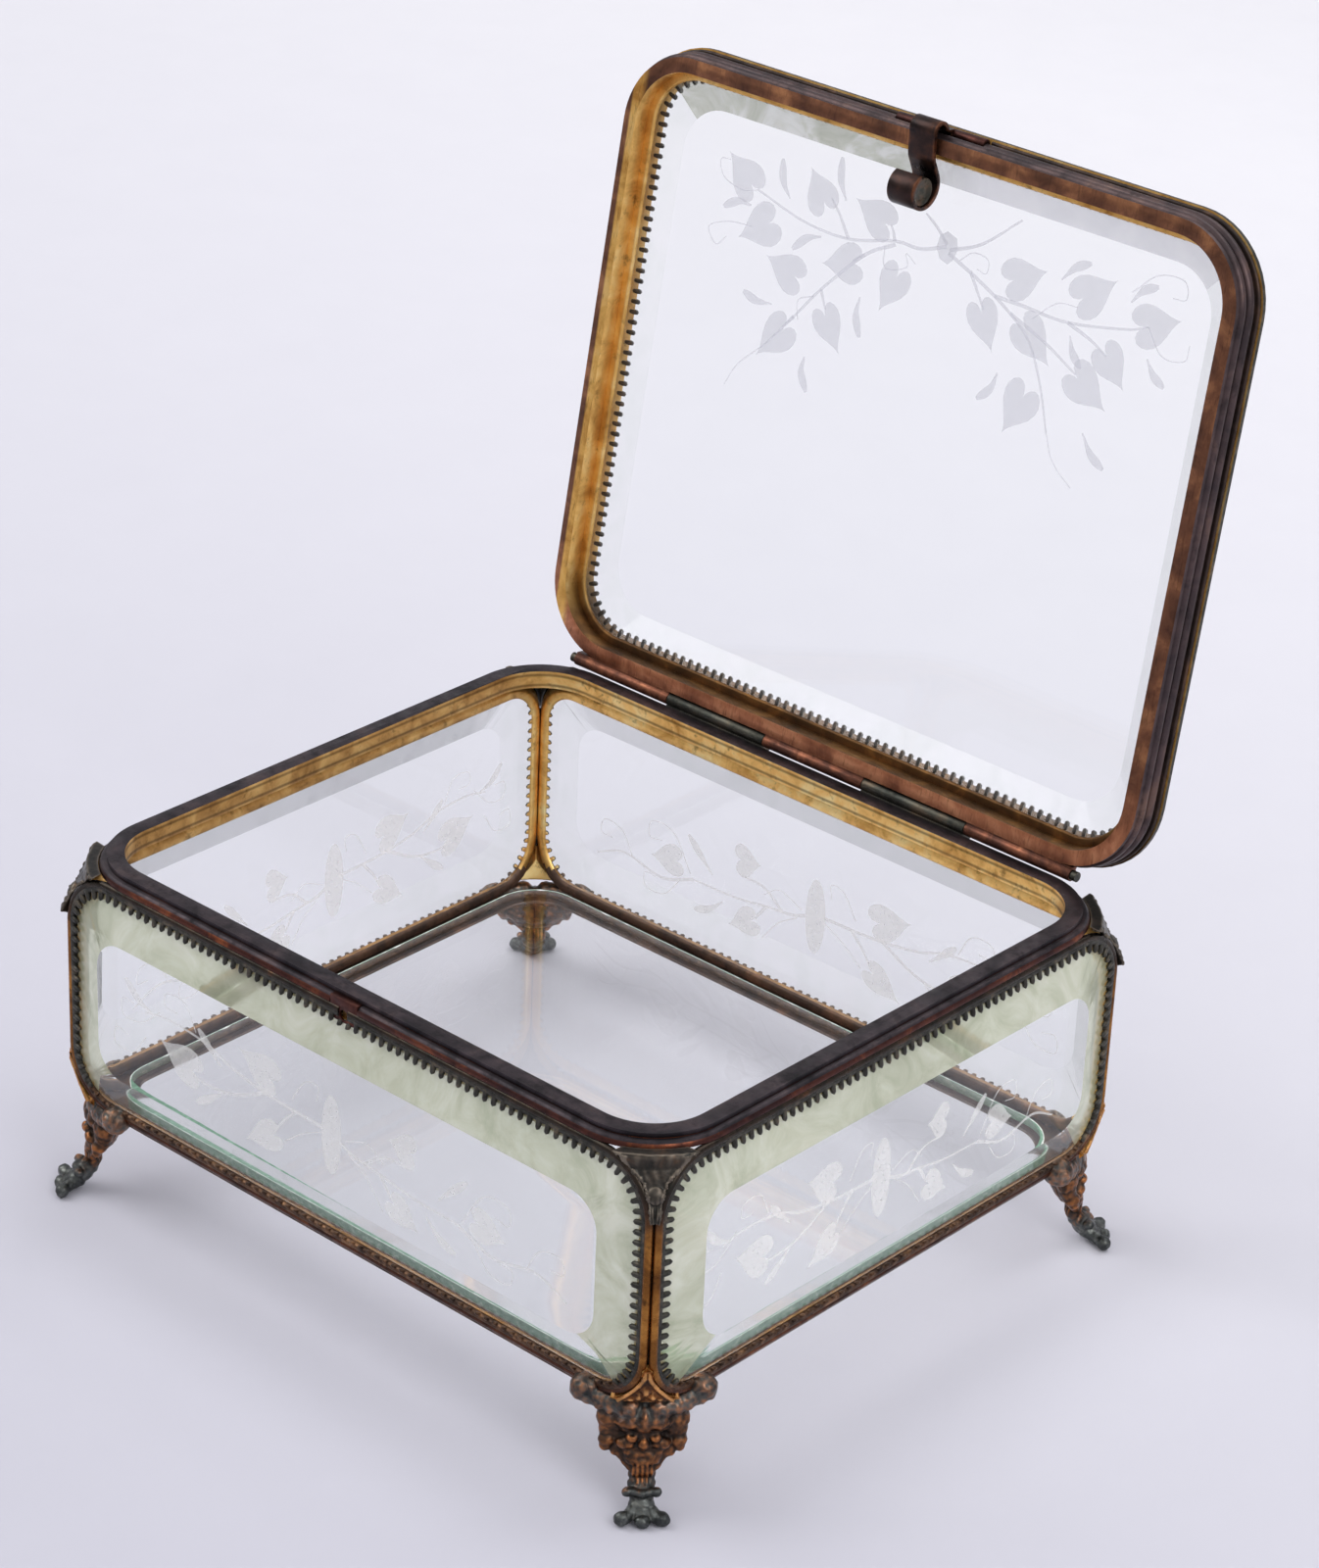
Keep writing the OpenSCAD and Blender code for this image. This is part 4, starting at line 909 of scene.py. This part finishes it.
def wall_frames(tree):
    """Reed, toothed band and gilt inner lip round each wall glass."""
    slope = BEVEL_RISE / BEVEL_W
    front = EDGE_T - GLASS_BACK + 0.45
    reed = [(REED_TURN + 0.8 * x, 0.9 + 0.8 * y) for x, y in circle(14)]
    band = [(REED_TURN - u, v) for u, v in (
        (0.1, 0.2), (0.1, front + 0.02), (0.55, front + 0.34), (1.1, front + 0.3), (1.35, front + 0.12),
        (1.45, EDGE_T - GLASS_BACK - 0.1), (1.65, 0.2))]
    lip_reach = 3.8
    lip = [(REED_TURN - u, v) for u, v in (
        (lip_reach, -1.52), (3.7, -1.9), (3.4, -2.1), (2.4, -2.14), (1.9, -2.05), (0, -0.2), (0, 0.3),
        (1.65, 0.3), (1.68, -1.52))]
    inset = 1.2
    for side, (turn, depth, width) in WALLS.items():
        half = width / 2 - REED_IN
        place = wall_place(turn, depth)
        back = place.inverted()
        bm = bmesh.new()
        sweep_round(bm, half, WALL_HALF, REED_TURN, reed, place)
        sweep_round(bm, half, WALL_HALF, REED_TURN, band, place, 1)
        if side == "front":
            open_for_catch(bm, place)
        known = set(bm.verts)
        sweep_round(bm, half, WALL_HALF, REED_TURN, lip, place, 2)
        for v in set(bm.verts) - known:
            p = back @ v.co
            lowered = 1.7 * clip((REED_TURN - WALL_HALF - p.y) / (REED_TURN - lip_reach)) ** 2
            if p.z < -1.4:
                v.co = place @ (p - Vector((0, lowered, 0)))
        bmesh.ops.recalc_face_normals(bm, faces=bm.faces)
        bm.normal_update()
        row = teeth_row(tree, half - inset, WALL_HALF - inset, REED_TURN - inset, front - 0.06, 1.8,
                        math.atan(slope), "tooth", short=True)
        row.transform(place)
        bm.from_mesh(row)
        bm.faces.ensure_lookup_table()
        for face in bm.faces[-len(row.polygons):]:
            face.material_index = 1
        if side == "front":
            shorten_under_catch(bm, len(row.vertices))
        for face in bm.faces:
            above_bottom = (back @ face.calc_center_median()).y + WALL_HALF
            if face.material_index == 1:
                if (back.to_3x3() @ face.normal).z < -0.3:
                    face.material_index = 4 if above_bottom < 3.4 else 2
                elif above_bottom < 3.4:
                    face.material_index = 3
            elif face.material_index == 2 and above_bottom < 4.3:
                face.material_index = 4
        finish_piece(side + "_wall_frame", bm, ["reed", "tooth", "gilt", "low_tooth", "base"], "casket",
                     [side + "_frame"], 50, mend=False)


def faces_inward(x, y, normal, depth):
    """Whether a face near the edge of a rounded rectangle, as wide as the box, looks to its inside."""
    w, h = BOX_W / 2 - CORNER_R, depth / 2 - CORNER_R
    out = Vector((x - max(-w, min(w, x)), y - max(-h, min(h, y)), 0))
    return out.length > 0.01 and normal.dot(out.normalized()) < -0.5


def rim_bar():
    """Dark top, red brown moulding, gilt inside."""
    bm = cad_copy("body_rim", 0.12)
    for face in bm.faces:
        middle = face.calc_center_median()
        on_top = face.normal.z > 0.6 or middle.z > 74.1
        inward = faces_inward(middle.x, middle.y - SHIFT_Y, face.normal, BOX_D)
        face.material_index = 2 if inward else 0 if on_top else 1
    finish_piece("rim_bar", bm, ["rim_top", "moulding", "gilt"], "casket", ["body_rim"], 32)


def base_ring():
    """Brown ring that carries the base glass."""
    bm = cad_copy("base_ring", 0.15)
    finish_piece("base_ring_piece", bm, ["base"], "casket", ["base_ring"], 35)


def base_edge_walk(steps):
    """Points along the base glass's edge: how far round, where, and which way is outwards."""
    half_w, half_d, r = BOX_W / 2 - BASE_EDGE_IN, BOX_D / 2 - BASE_EDGE_IN, CORNER_R - BASE_EDGE_IN
    run = edge_run(half_w, half_d, r)
    for i in range(steps):
        at = run * i / steps
        x, y = edge_point(at, half_w, half_d, r)
        ahead = edge_point(at + 0.1, half_w, half_d, r)
        yield at, x, y, Vector((ahead[1] - y, x - ahead[0], 0)).normalized()


def chipped_edge():
    """Small white chips along the top edge of the base glass."""
    bm = bmesh.new()
    rings = []
    for at, x, y, out in base_edge_walk(700):
        coarse, fine = noise.noise(Vector((at * 0.35, 4.1, 0))), noise.noise(Vector((at * 1.7, 0, 0)))
        size = 0.12 + 0.2 * max(0.0, coarse + 0.35 * fine)
        rings.append([bm.verts.new(Vector((x, y + SHIFT_Y, BASE_TOP)) + out * (-0.6 + cos) * size
                                   + Vector((0, 0, 0.45 * sin * size))) for cos, sin in circle(6)])
    skin(bm, rings, True)
    finish_piece("base_glass_chips", bm, ["chips"], "casket", angle=60)


def green_edge():
    """The base glass's solid green edge, seen broadest at the front left where the sheet is thickest."""
    bm = bmesh.new()
    rings = []
    for at, x, y, out in base_edge_walk(500):
        front = clip((-y - (BOX_D / 2 - BASE_EDGE_IN) + 4) / 4)
        wide = 0.12 + front * (0.5 + 1.9 * clip((45 - x) / 100)) + 0.6 * max(0.0, out.x) * (1 - front)
        wide += 0.12 * noise.noise(Vector((at * 0.8, 1.7, 0)))
        near, far = (Vector((x, y + SHIFT_Y, BASE_TOP)) - out * inset for inset in (0.15, 0.15 + wide))
        rings.append([bm.verts.new(p + Vector((0, 0, lift))) for p, lift in
                      ((near, 0.02), (near, 0.05), (far, 0.05), (far, 0.02))])
    skin(bm, rings, True)
    strip = finish_piece("base_glass_green_edge", bm, ["green_edge"], "casket", angle=60)
    strip.visible_shadow = False


def lid_metal(tree):
    """Ridges dark outside, copper band below, gilt lip and teeth at the glass."""
    place = lid_place()
    back = place.inverted()
    bm = cad_copy("lid_frame", 0.08)
    for face in bm.faces:
        lie = back @ face.calc_center_median()
        inward = faces_inward(lie.x, lie.y, back.to_3x3() @ face.normal, LID_D)
        face.material_index = 2 if inward else 1 if lie.z < 0.35 else 3 if lie.z > 5.3 else 0
    finish_piece("lid_ridges", bm, ["ridge", "copper", "lid_gilt", "outer"], "lid", ["lid_frame"],
                 32)
    finish_piece("lid_gilt_lip", cad_copy("lid_lip", 0.05), ["lid_gilt"], "lid", ["lid_lip"],
                 35)
    slope = LID_BEVEL_RISE / LID_BEVEL_W
    band = [(CORNER_R + u, LID_EDGE_TOP + v) for u, v in (
        (1.5, -0.6), (1.5, 0.28), (1.15, 0.46), (-0.6, 0.58), (-2.3, 0.62), (-3.6, 0.6 + slope),
        (-4.6, 0.5 + 2.0 * slope), (-4.85, 0.05 + 2.3 * slope), (-2.6, 0.06), (-2.6, -0.6))]
    bm = bmesh.new()
    sweep_round(bm, BOX_W / 2, LID_D / 2, CORNER_R, band, place)
    bmesh.ops.recalc_face_normals(bm, faces=bm.faces)
    bm.normal_update()
    for face in bm.faces:
        if (back.to_3x3() @ face.normal).z < -0.2:
            face.material_index = 1
    inset = 4.55
    row = teeth_row(tree, BOX_W / 2 - inset, LID_D / 2 - inset, CORNER_R - inset,
                    LID_EDGE_TOP + 2.2 * slope + 0.3, 1.2, math.atan(slope), "tooth")
    row.transform(place)
    bm.from_mesh(row)
    bm.faces.ensure_lookup_table()
    for face in bm.faces[-len(row.polygons):]:
        face.material_index = 2
    finish_piece("lid_teeth", bm, ["tooth", "lid_gilt", "dark_tooth"], "lid", ["lid_tooth_ring"],
                 50, mend=False)


def turned(bm, rings):
    """Closes a run of rings at both of its ends."""
    skin(bm, rings)
    bm.faces.new(rings[0])
    bm.faces.new(rings[-1][::-1])


def small_metal():
    """Hinge, hasp, keeper and rivets as they are, edges eased, and the roll inside the hasp's curl."""
    for nodes, finish, body, slot, edge in (
            ("body_knuckle_left body_knuckle_right", "hinge", "casket", "hinge_brass", 0.06),
            ("hinge_pin", "hinge", "casket", "hinge_brass", 0.0),
            ("lid_knuckle_left lid_knuckle_middle lid_knuckle_right", "tube", "lid", "hinge_brass", 0.06),
            ("hasp_knuckle_left hasp_knuckle_right", "moulding", "lid", "hinge_brass", 0.05),
            ("hasp_pin", "hasp", "hasp", "hinge_brass", 0.0),
            ("keeper_plate", "moulding", "casket", "hasp_brass", 0.05),
            ("foot_rivets", "low_leaf", "casket", "hinge_brass", 0.0),
            ("catch_pin", "hasp", "hasp", "hinge_brass", 0.05)):
        for node in nodes.split():
            finish_piece(node + "_piece", cad_copy(node, edge), [finish], body, [node], 35)
    bm = bmesh.new()
    turned(bm, [[bm.verts.new((x, CURL_Y + r * cos, CURL_Z + r * sin)) for cos, sin in circle(32)]
                for r, x in ((1.2, -2.52), (2.0, -2.62), (2.5, -2.82), (2.76, -2.74), (2.8, -2.5),
                             (2.8, 2.5), (2.76, 2.74), (2.5, 2.82), (2.0, 2.62), (1.2, 2.52))])
    finish_piece("hasp_curl_core", bm, ["core"], "hasp", angle=40)
    finish_piece("hasp_strap_piece", cad_copy("hasp_strap", 0.14), ["hasp"], "hasp", ["hasp_strap"],
                 40)


# ---------------------------------------------------------------- cast corners and feet

def corner_cast(name, sides, relief, finish):
    """The node's leaning plate, its edges softened, with a cast relief raised on the outside."""
    place = corner_place(*sides)
    bm = cad_copy(name)
    bmesh.ops.transform(bm, matrix=place.inverted(), verts=bm.verts)
    bmesh.ops.scale(bm, vec=(MM, MM, MM), verts=bm.verts)
    mesh = melt(bm, 0.00015, 3)
    bm = bmesh.new()
    bm.from_mesh(mesh)
    bm.normal_update()
    # How far the plate reaches to each side, millimetre by millimetre of its height
    reach = {}
    for v in bm.verts:
        if v.normal.x > 0.3:
            key = round(v.co.z * 1000)
            reach[key] = max(reach.get(key, 0.3), abs(v.co.y) * 1000)
    for v in bm.verts:
        y, z = v.co.y * 1000, v.co.z * 1000
        if z > WALL_MID:
            v.co.y *= 1 + 0.22 * clip((z - 69.0) / 2.6)
            v.co.y *= 0.15 + 0.85 * clip((z - 60.0) / 5.6) ** 0.8
        v.co.z += 1.1 * MM * clip((z - 70.6) / 0.8)
        if v.normal.x > 0.2:
            height = relief(y, z, abs(y) / reach.get(round(z), 1.0))
            v.co += v.normal * height * MM * min(1.0, v.normal.x * 2)
    bm.normal_update()
    for face in bm.faces:
        face.material_index = 1 if face.normal.x < -0.2 else 0
    bm.to_mesh(mesh)
    bm.free()
    mark_rubbed(mesh, 3, 9e4)
    place.translation *= MM
    mesh.transform(place)
    behind = "leaf" if finish == "leaf" else "gilt"
    mesh_piece(name + "_cast", mesh, [finish, behind], "casket", [name], 60)


def bump(y, z, at_y, at_z, width, height):
    """A soft round swelling, 1 at its middle."""
    return math.exp(-((y - at_y) / width) ** 2 - ((z - at_z) / height) ** 2)


def upper_relief(y, z, share):
    """Boss in the middle, beads along both edges, a small leaf pointing down."""
    side = abs(y)
    d = 0.75 * max(0.0, 1 - (y / 1.5) ** 2 - ((z - 66.6) / 1.5) ** 2) ** 0.5
    d += 0.35 * math.exp(-((share - 0.86) / 0.09) ** 2) * (0.75 + 0.25 * math.cos(z * 5.2))
    d += 0.35 * bump(side, z, 3.4, 69.2, 1.1, 0.9) + 0.28 * bump(side, z, 2.2, 66.4, 0.5, 1.2)
    d += 0.3 * bump(side, z, 0.7, 63.8, 0.5, 1.3) - 0.2 * bump(y, z, 0, 63.8, 0.25, 1.6)
    return d + 0.16 * noise.noise(Vector((y * 0.9, z * 0.9, 2.3)))


def lower_relief(y, z, share):
    """Two ribs meeting in a point over a small leaf with rubbed lobes."""
    side = abs(y)
    arch = 0.3 + 4.4 * max(0.0, 1 - (z - 23.0) / 7.4) ** 1.5
    d = 0.45 * math.exp(-((side - arch) / 0.4) ** 2) - 1.3 * clip((side - arch - 0.35) / 0.5)
    d -= 1.1 * clip((z - 29.9) / 1.2)
    d += 0.5 * bump(y, z, 0, 25.6, 0.6, 1.0) + 0.45 * bump(side, z, 1.25, 24.2, 0.55, 0.6)
    d += 0.35 * bump(side, z, 2.6, 23.6, 0.6, 0.4) - 0.2 * bump(side, z, 0.75, 25.0, 0.22, 0.9)
    return d + 0.1 * noise.noise(Vector((y, z, 8.1)))


def post_core(corner, sides):
    """Dark web seen in the groove between a post's two reeds."""
    bm = bmesh.new()
    place = corner_place(*sides) @ Matrix.Translation((-0.9, 0, 0))
    turned(bm, [[bm.verts.new(place @ Vector((0.62 * cos, 0.5 * sin, z))) for cos, sin in circle(12)]
                for z in (30.0, 40.0, 52.0, 62.0)])
    finish_piece("post_core_" + corner, bm, ["tooth"], "casket", angle=50)


def foot_form():
    """The cast foot in its own frame, hundredths of its height turned to millimetres."""
    bm = bmesh.new()
    u = FOOT_UNIT

    def egg(x, y, z, a, b, c, turn=(0, 0, 0)):
        blob(bm, (x * u, y * u, z * u), (a * u, b * u, c * u), turn)

    def roll(points, sizes):
        rope(bm, [[v * u for v in point] for point in points], [size * u for size in sizes])

    for side in (-1, 1):
        egg(-39, side * 50, 107, 14.5, 14.5, 14.0)
        roll([(-38, side * 50, 103), (-28, side * 32, 100), (-20, side * 12, 99)], [10, 11, 12])
        egg(-27, side * 27, 84, 11, 14, 14)
        egg(-17, side * 14, 87, 9, 13, 5, (0, 0, side * 18))
        egg(-14, side * 15, 67, 8, 9, 6)
        egg(-10, side * 9.8, 74.5, 5.2, 5.6, 4.6)
        egg(-25, side * 30, 75, 8, 9, 15)
        egg(-21, side * 31, 65, 8, 8, 7)
        egg(-19, side * 32, 60, 5, 5.5, 5.5)
        egg(-19, side * 24, 53, 4, 5, 3.5, (side * 25, 0, 0))
        egg(-14, side * 10, 57, 6, 8, 6)
        roll([(-20, side * 24, 57), (-16, side * 16, 49), (-13, side * 11, 42)], [5, 4.4, 4])
        egg(1, side * 12.5, 24.5, 4.6, 5, 4.4)
        egg(16, side * 17.5, 7, 7, 7.4, 7)
        roll([(4, side * 6, 10), (14, side * 13, 7)], [6, 6])
    egg(-27, 0, 78, 14, 38, 24)
    egg(-24, 0, 88, 19, 28, 18)
    egg(-22, 0, 64, 13, 28, 16)
    egg(-13, 0, 77, 5.5, 6, 12)
    egg(-7, 0, 68, 4.5, 4.8, 6.5)
    egg(-13, 0, 52, 8, 17, 10)
    egg(-9, 0, 47, 4, 7, 3.4)
    egg(-12, 0, 40, 7, 12, 9)
    egg(-14, 0, 34, 7.5, 12.5, 10)
    egg(-10, 0, 26, 8, 12.5, 9)
    egg(-5, 0, 20, 9, 12, 11)
    egg(2, 0, 12, 9, 12, 9)
    egg(8, 0, 7, 10, 11, 7)
    egg(19, 0, 6, 6, 7, 6)
    roll([(-1, -13, 24.5), (4, 0, 24), (-1, 13, 24.5)], [4, 3.8, 4])
    bmesh.ops.scale(bm, vec=(MM, MM, MM), verts=bm.verts)
    mesh = melt(bm, 0.00022, 5)
    cuts = [(-4, 0, 54.5, 4.2, 2.6)] + [
        (x, side * y, z, r, deep) for side in (1, -1) for x, y, z, r, deep in (
            (-7, 9.5, 80.5, 3.4, 2.6), (-3, 3.5, 63, 2.6, 2.5), (-4, 4, 54, 3, 2), (-9, 3.6, 40, 2, 2.2),
            (-25, 50, 107, 4, 3), (-30, 40, 96, 5, 2), (22, 15.5, 8, 2.6, 1.2), (-15, 21, 74, 4, 2))]
    bm = bmesh.new()
    bm.from_mesh(mesh)
    bm.normal_update()
    for v in bm.verts:
        p = v.co / (u * MM)
        deep = sum(d * math.exp(-((p.x - x) ** 2 + (p.y - y) ** 2 + (p.z - z) ** 2) / (r * r))
                   for x, y, z, r, d in cuts)
        ripple = noise.noise(p * 0.11) * 1.0 + noise.noise(p * 0.25) * 0.6
        curl = 0.0
        if 80 < p.z < 104:
            curl = 0.9 * math.cos(p.y * 0.62) * math.exp(-((p.z - 95) / 7) ** 2)
        if 30 < p.z < 48 and abs(p.y) < 9:
            curl = 0.7 * math.cos(p.y * 1.5)
        v.co += v.normal * (ripple + curl - deep) * u * MM * 0.9
        v.co.z = max(v.co.z, 0.0)
    bm.to_mesh(mesh)
    bm.free()
    return mesh


def feet():
    form = foot_form()
    mark_rubbed(form, 4, 3.2e4)
    for corner, sides in CORNERS.items():
        mesh = form.copy()
        place = corner_place(*sides)
        place.translation *= MM
        mesh.transform(place)
        name = "foot_" + corner
        mesh_piece(name + "_cast", mesh, ["foot"], "casket", [name], 180)


# ---------------------------------------------------------------- studio

def studio():
    """The camera as it was solved from the photograph's straight lines, a pale floor with painted light that
    is lighter towards the back, and soft lights.
    """
    scene = bpy.context.scene
    focal_pixels, photo_height, distance = 4639.43, 1600, 0.954027
    target = Vector((-53.534, 66.733, 46.875)) * MM
    turn, lift, roll = (math.radians(v) for v in (41.373108, 27.180309, 2.497163))
    back = Vector((math.sin(turn) * math.cos(lift), -math.cos(turn) * math.cos(lift), math.sin(lift)))
    right = (-back).cross(Vector((0, 0, 1))).normalized()
    up = right.cross(-back)
    across = right * math.cos(roll) + up * math.sin(roll)
    above = up * math.cos(roll) - right * math.sin(roll)
    eye = bpy.data.cameras.new("camera")
    eye.sensor_width, eye.sensor_fit = 36, "AUTO"
    eye.lens = focal_pixels * eye.sensor_width / photo_height
    eye.clip_start, eye.clip_end = 0.01, 20
    camera = bpy.data.objects.new("camera", eye)
    place = Matrix((across, above, back)).transposed().to_4x4()
    place.translation = target + back * distance
    camera.matrix_world = place
    scene.collection.objects.link(camera)
    scene.camera = camera

    floor_mesh = bpy.data.meshes.new("floor")
    rows = [(-3.0, 0.0), (1.4, 0.0)] + [(1.4 + 1.2 * math.sin(a), 1.2 - 1.2 * math.cos(a))
                                        for a in (math.pi / 2 * i / 16 for i in range(1, 17))] + [(2.6, 4.0)]
    points = [(x, y, z - 0.00002) for y, z in rows for x in (-4, 4)]
    floor_mesh.from_pydata(points, [], [(i, i + 1, i + 3, i + 2) for i in range(0, len(points) - 2, 2)])
    floor_mesh.polygons.foreach_set("use_smooth", [True] * len(floor_mesh.polygons))
    floor = bpy.data.objects.new("floor", floor_mesh)
    scene.collection.objects.link(floor)
    paper = Finish("Pale paper")
    fibre = paper.cloud(40, 4, 0.6)
    # Painted light: the floor's colour is lighter towards the back and darker in front
    shade = paper.ramp(
        paper.span(paper.axis("Y"), -0.2, 0.7), (0.0, 192, 191, 202), (0.1, 197, 196, 207),
        (0.2, 200, 199, 209), (0.32, 207, 206, 215), (0.62, 221, 220, 227), (0.88, 232, 231, 236))
    paper.set(Base_Color=paper.mix(paper.span(fibre, 0.3, 0.7, 0.0, 0.03), shade, tint(160, 160, 172)),
              Roughness=0.95)
    floor_mesh.materials.append(paper.mat)

    world = bpy.data.worlds.new("studio air")
    scene.world = world
    world.use_nodes = True
    tree = world.node_tree
    shade = tree.nodes["Background"]
    where = tree.nodes.new("ShaderNodeTexCoord")
    split = tree.nodes.new("ShaderNodeSeparateXYZ")
    ramp = tree.nodes.new("ShaderNodeValToRGB")
    ramp.color_ramp.elements[0].position, ramp.color_ramp.elements[0].color = 0.0, (0.36, 0.36, 0.38, 1)
    ramp.color_ramp.elements[1].position, ramp.color_ramp.elements[1].color = 0.9, (1.0, 1.0, 1.02, 1)
    tree.links.new(where.outputs["Generated"], split.inputs[0])
    tree.links.new(split.outputs["Z"], ramp.inputs["Fac"])
    rays, seen, pale = (tree.nodes.new("ShaderNode" + kind) for kind in ("LightPath", "Math", "Mix"))
    seen.operation = "MAXIMUM"
    tree.links.new(rays.outputs["Is Camera Ray"], seen.inputs[0])
    tree.links.new(rays.outputs["Is Transmission Ray"], seen.inputs[1])
    pale.data_type = "RGBA"
    tree.links.new(seen.outputs[0], pale.inputs["Factor"])
    tree.links.new(ramp.outputs["Color"], pale.inputs["A"])
    pale.inputs["B"].default_value = (0.84, 0.84, 0.89, 1)
    tree.links.new(pale.outputs["Result"], shade.inputs["Color"])
    shade.inputs["Strength"].default_value = 0.92

    for name, spot, aim, width, height, power in (
            ("soft box left", (-0.9, -0.5, 1.1), (0, 0, 0.08), 0.9, 0.9, 7),
            ("soft box right", (1.1, -0.2, 0.9), (0, 0, 0.08), 0.7, 0.9, 5.5),
            ("soft box behind", (0.1, 1.0, 1.4), (0, 0, 0.1), 1.4, 0.8, 7)):
        light = bpy.data.lights.new(name, "AREA")
        light.shape, light.size, light.size_y, light.energy = "RECTANGLE", width, height, power
        lamp = bpy.data.objects.new(name, light)
        way = Vector(spot) - Vector(aim)
        lamp.matrix_world = Matrix.Translation(spot) @ way.to_track_quat("Z", "Y").to_matrix().to_4x4()
        scene.collection.objects.link(lamp)
    scene.view_settings.view_transform = "Standard"


# ---------------------------------------------------------------- build

FINISH = make_finishes()
studio()
teeth = tooth_tree()
wall_frames(teeth)
rim_bar()
base_ring()
lid_metal(teeth)
small_metal()
for side, (turn, depth, width) in WALLS.items():
    place = wall_place(turn, depth)
    # Front and right walls: top and side slopes get pale green with a painted reflection; back and left walls
    # stay clear
    glass_sheet(side + "_glass", place, "casket",
                [(0, 1), (1, 0), (-1, 0)] if side in ("front", "right") else [], round_to=6.5)
    panel_engraving(side + "_engraving", place, -GLASS_BACK, 1.0 if width == BOX_W else 0.86)
glass_sheet("base_glass", Matrix.Identity(4), "casket", [], "cut_edge")
lid_at = lid_place()
# The lid's front slope gets its painted reflection and shade
glass_sheet("lid_glass", lid_at, "lid", [], pale=[(0, -1)], round_to=9.5)
lid_engraving(lid_at, LID_ETCHED - 0.05, LID_ETCHED - 0.02)
for corner, sides in CORNERS.items():
    corner_cast("upper_leaf_" + corner, sides, upper_relief, "leaf")
    corner_cast("lower_leaf_" + corner, sides, lower_relief, "low_leaf")
    post_core(corner, sides)
chipped_edge()
green_edge()
feet()
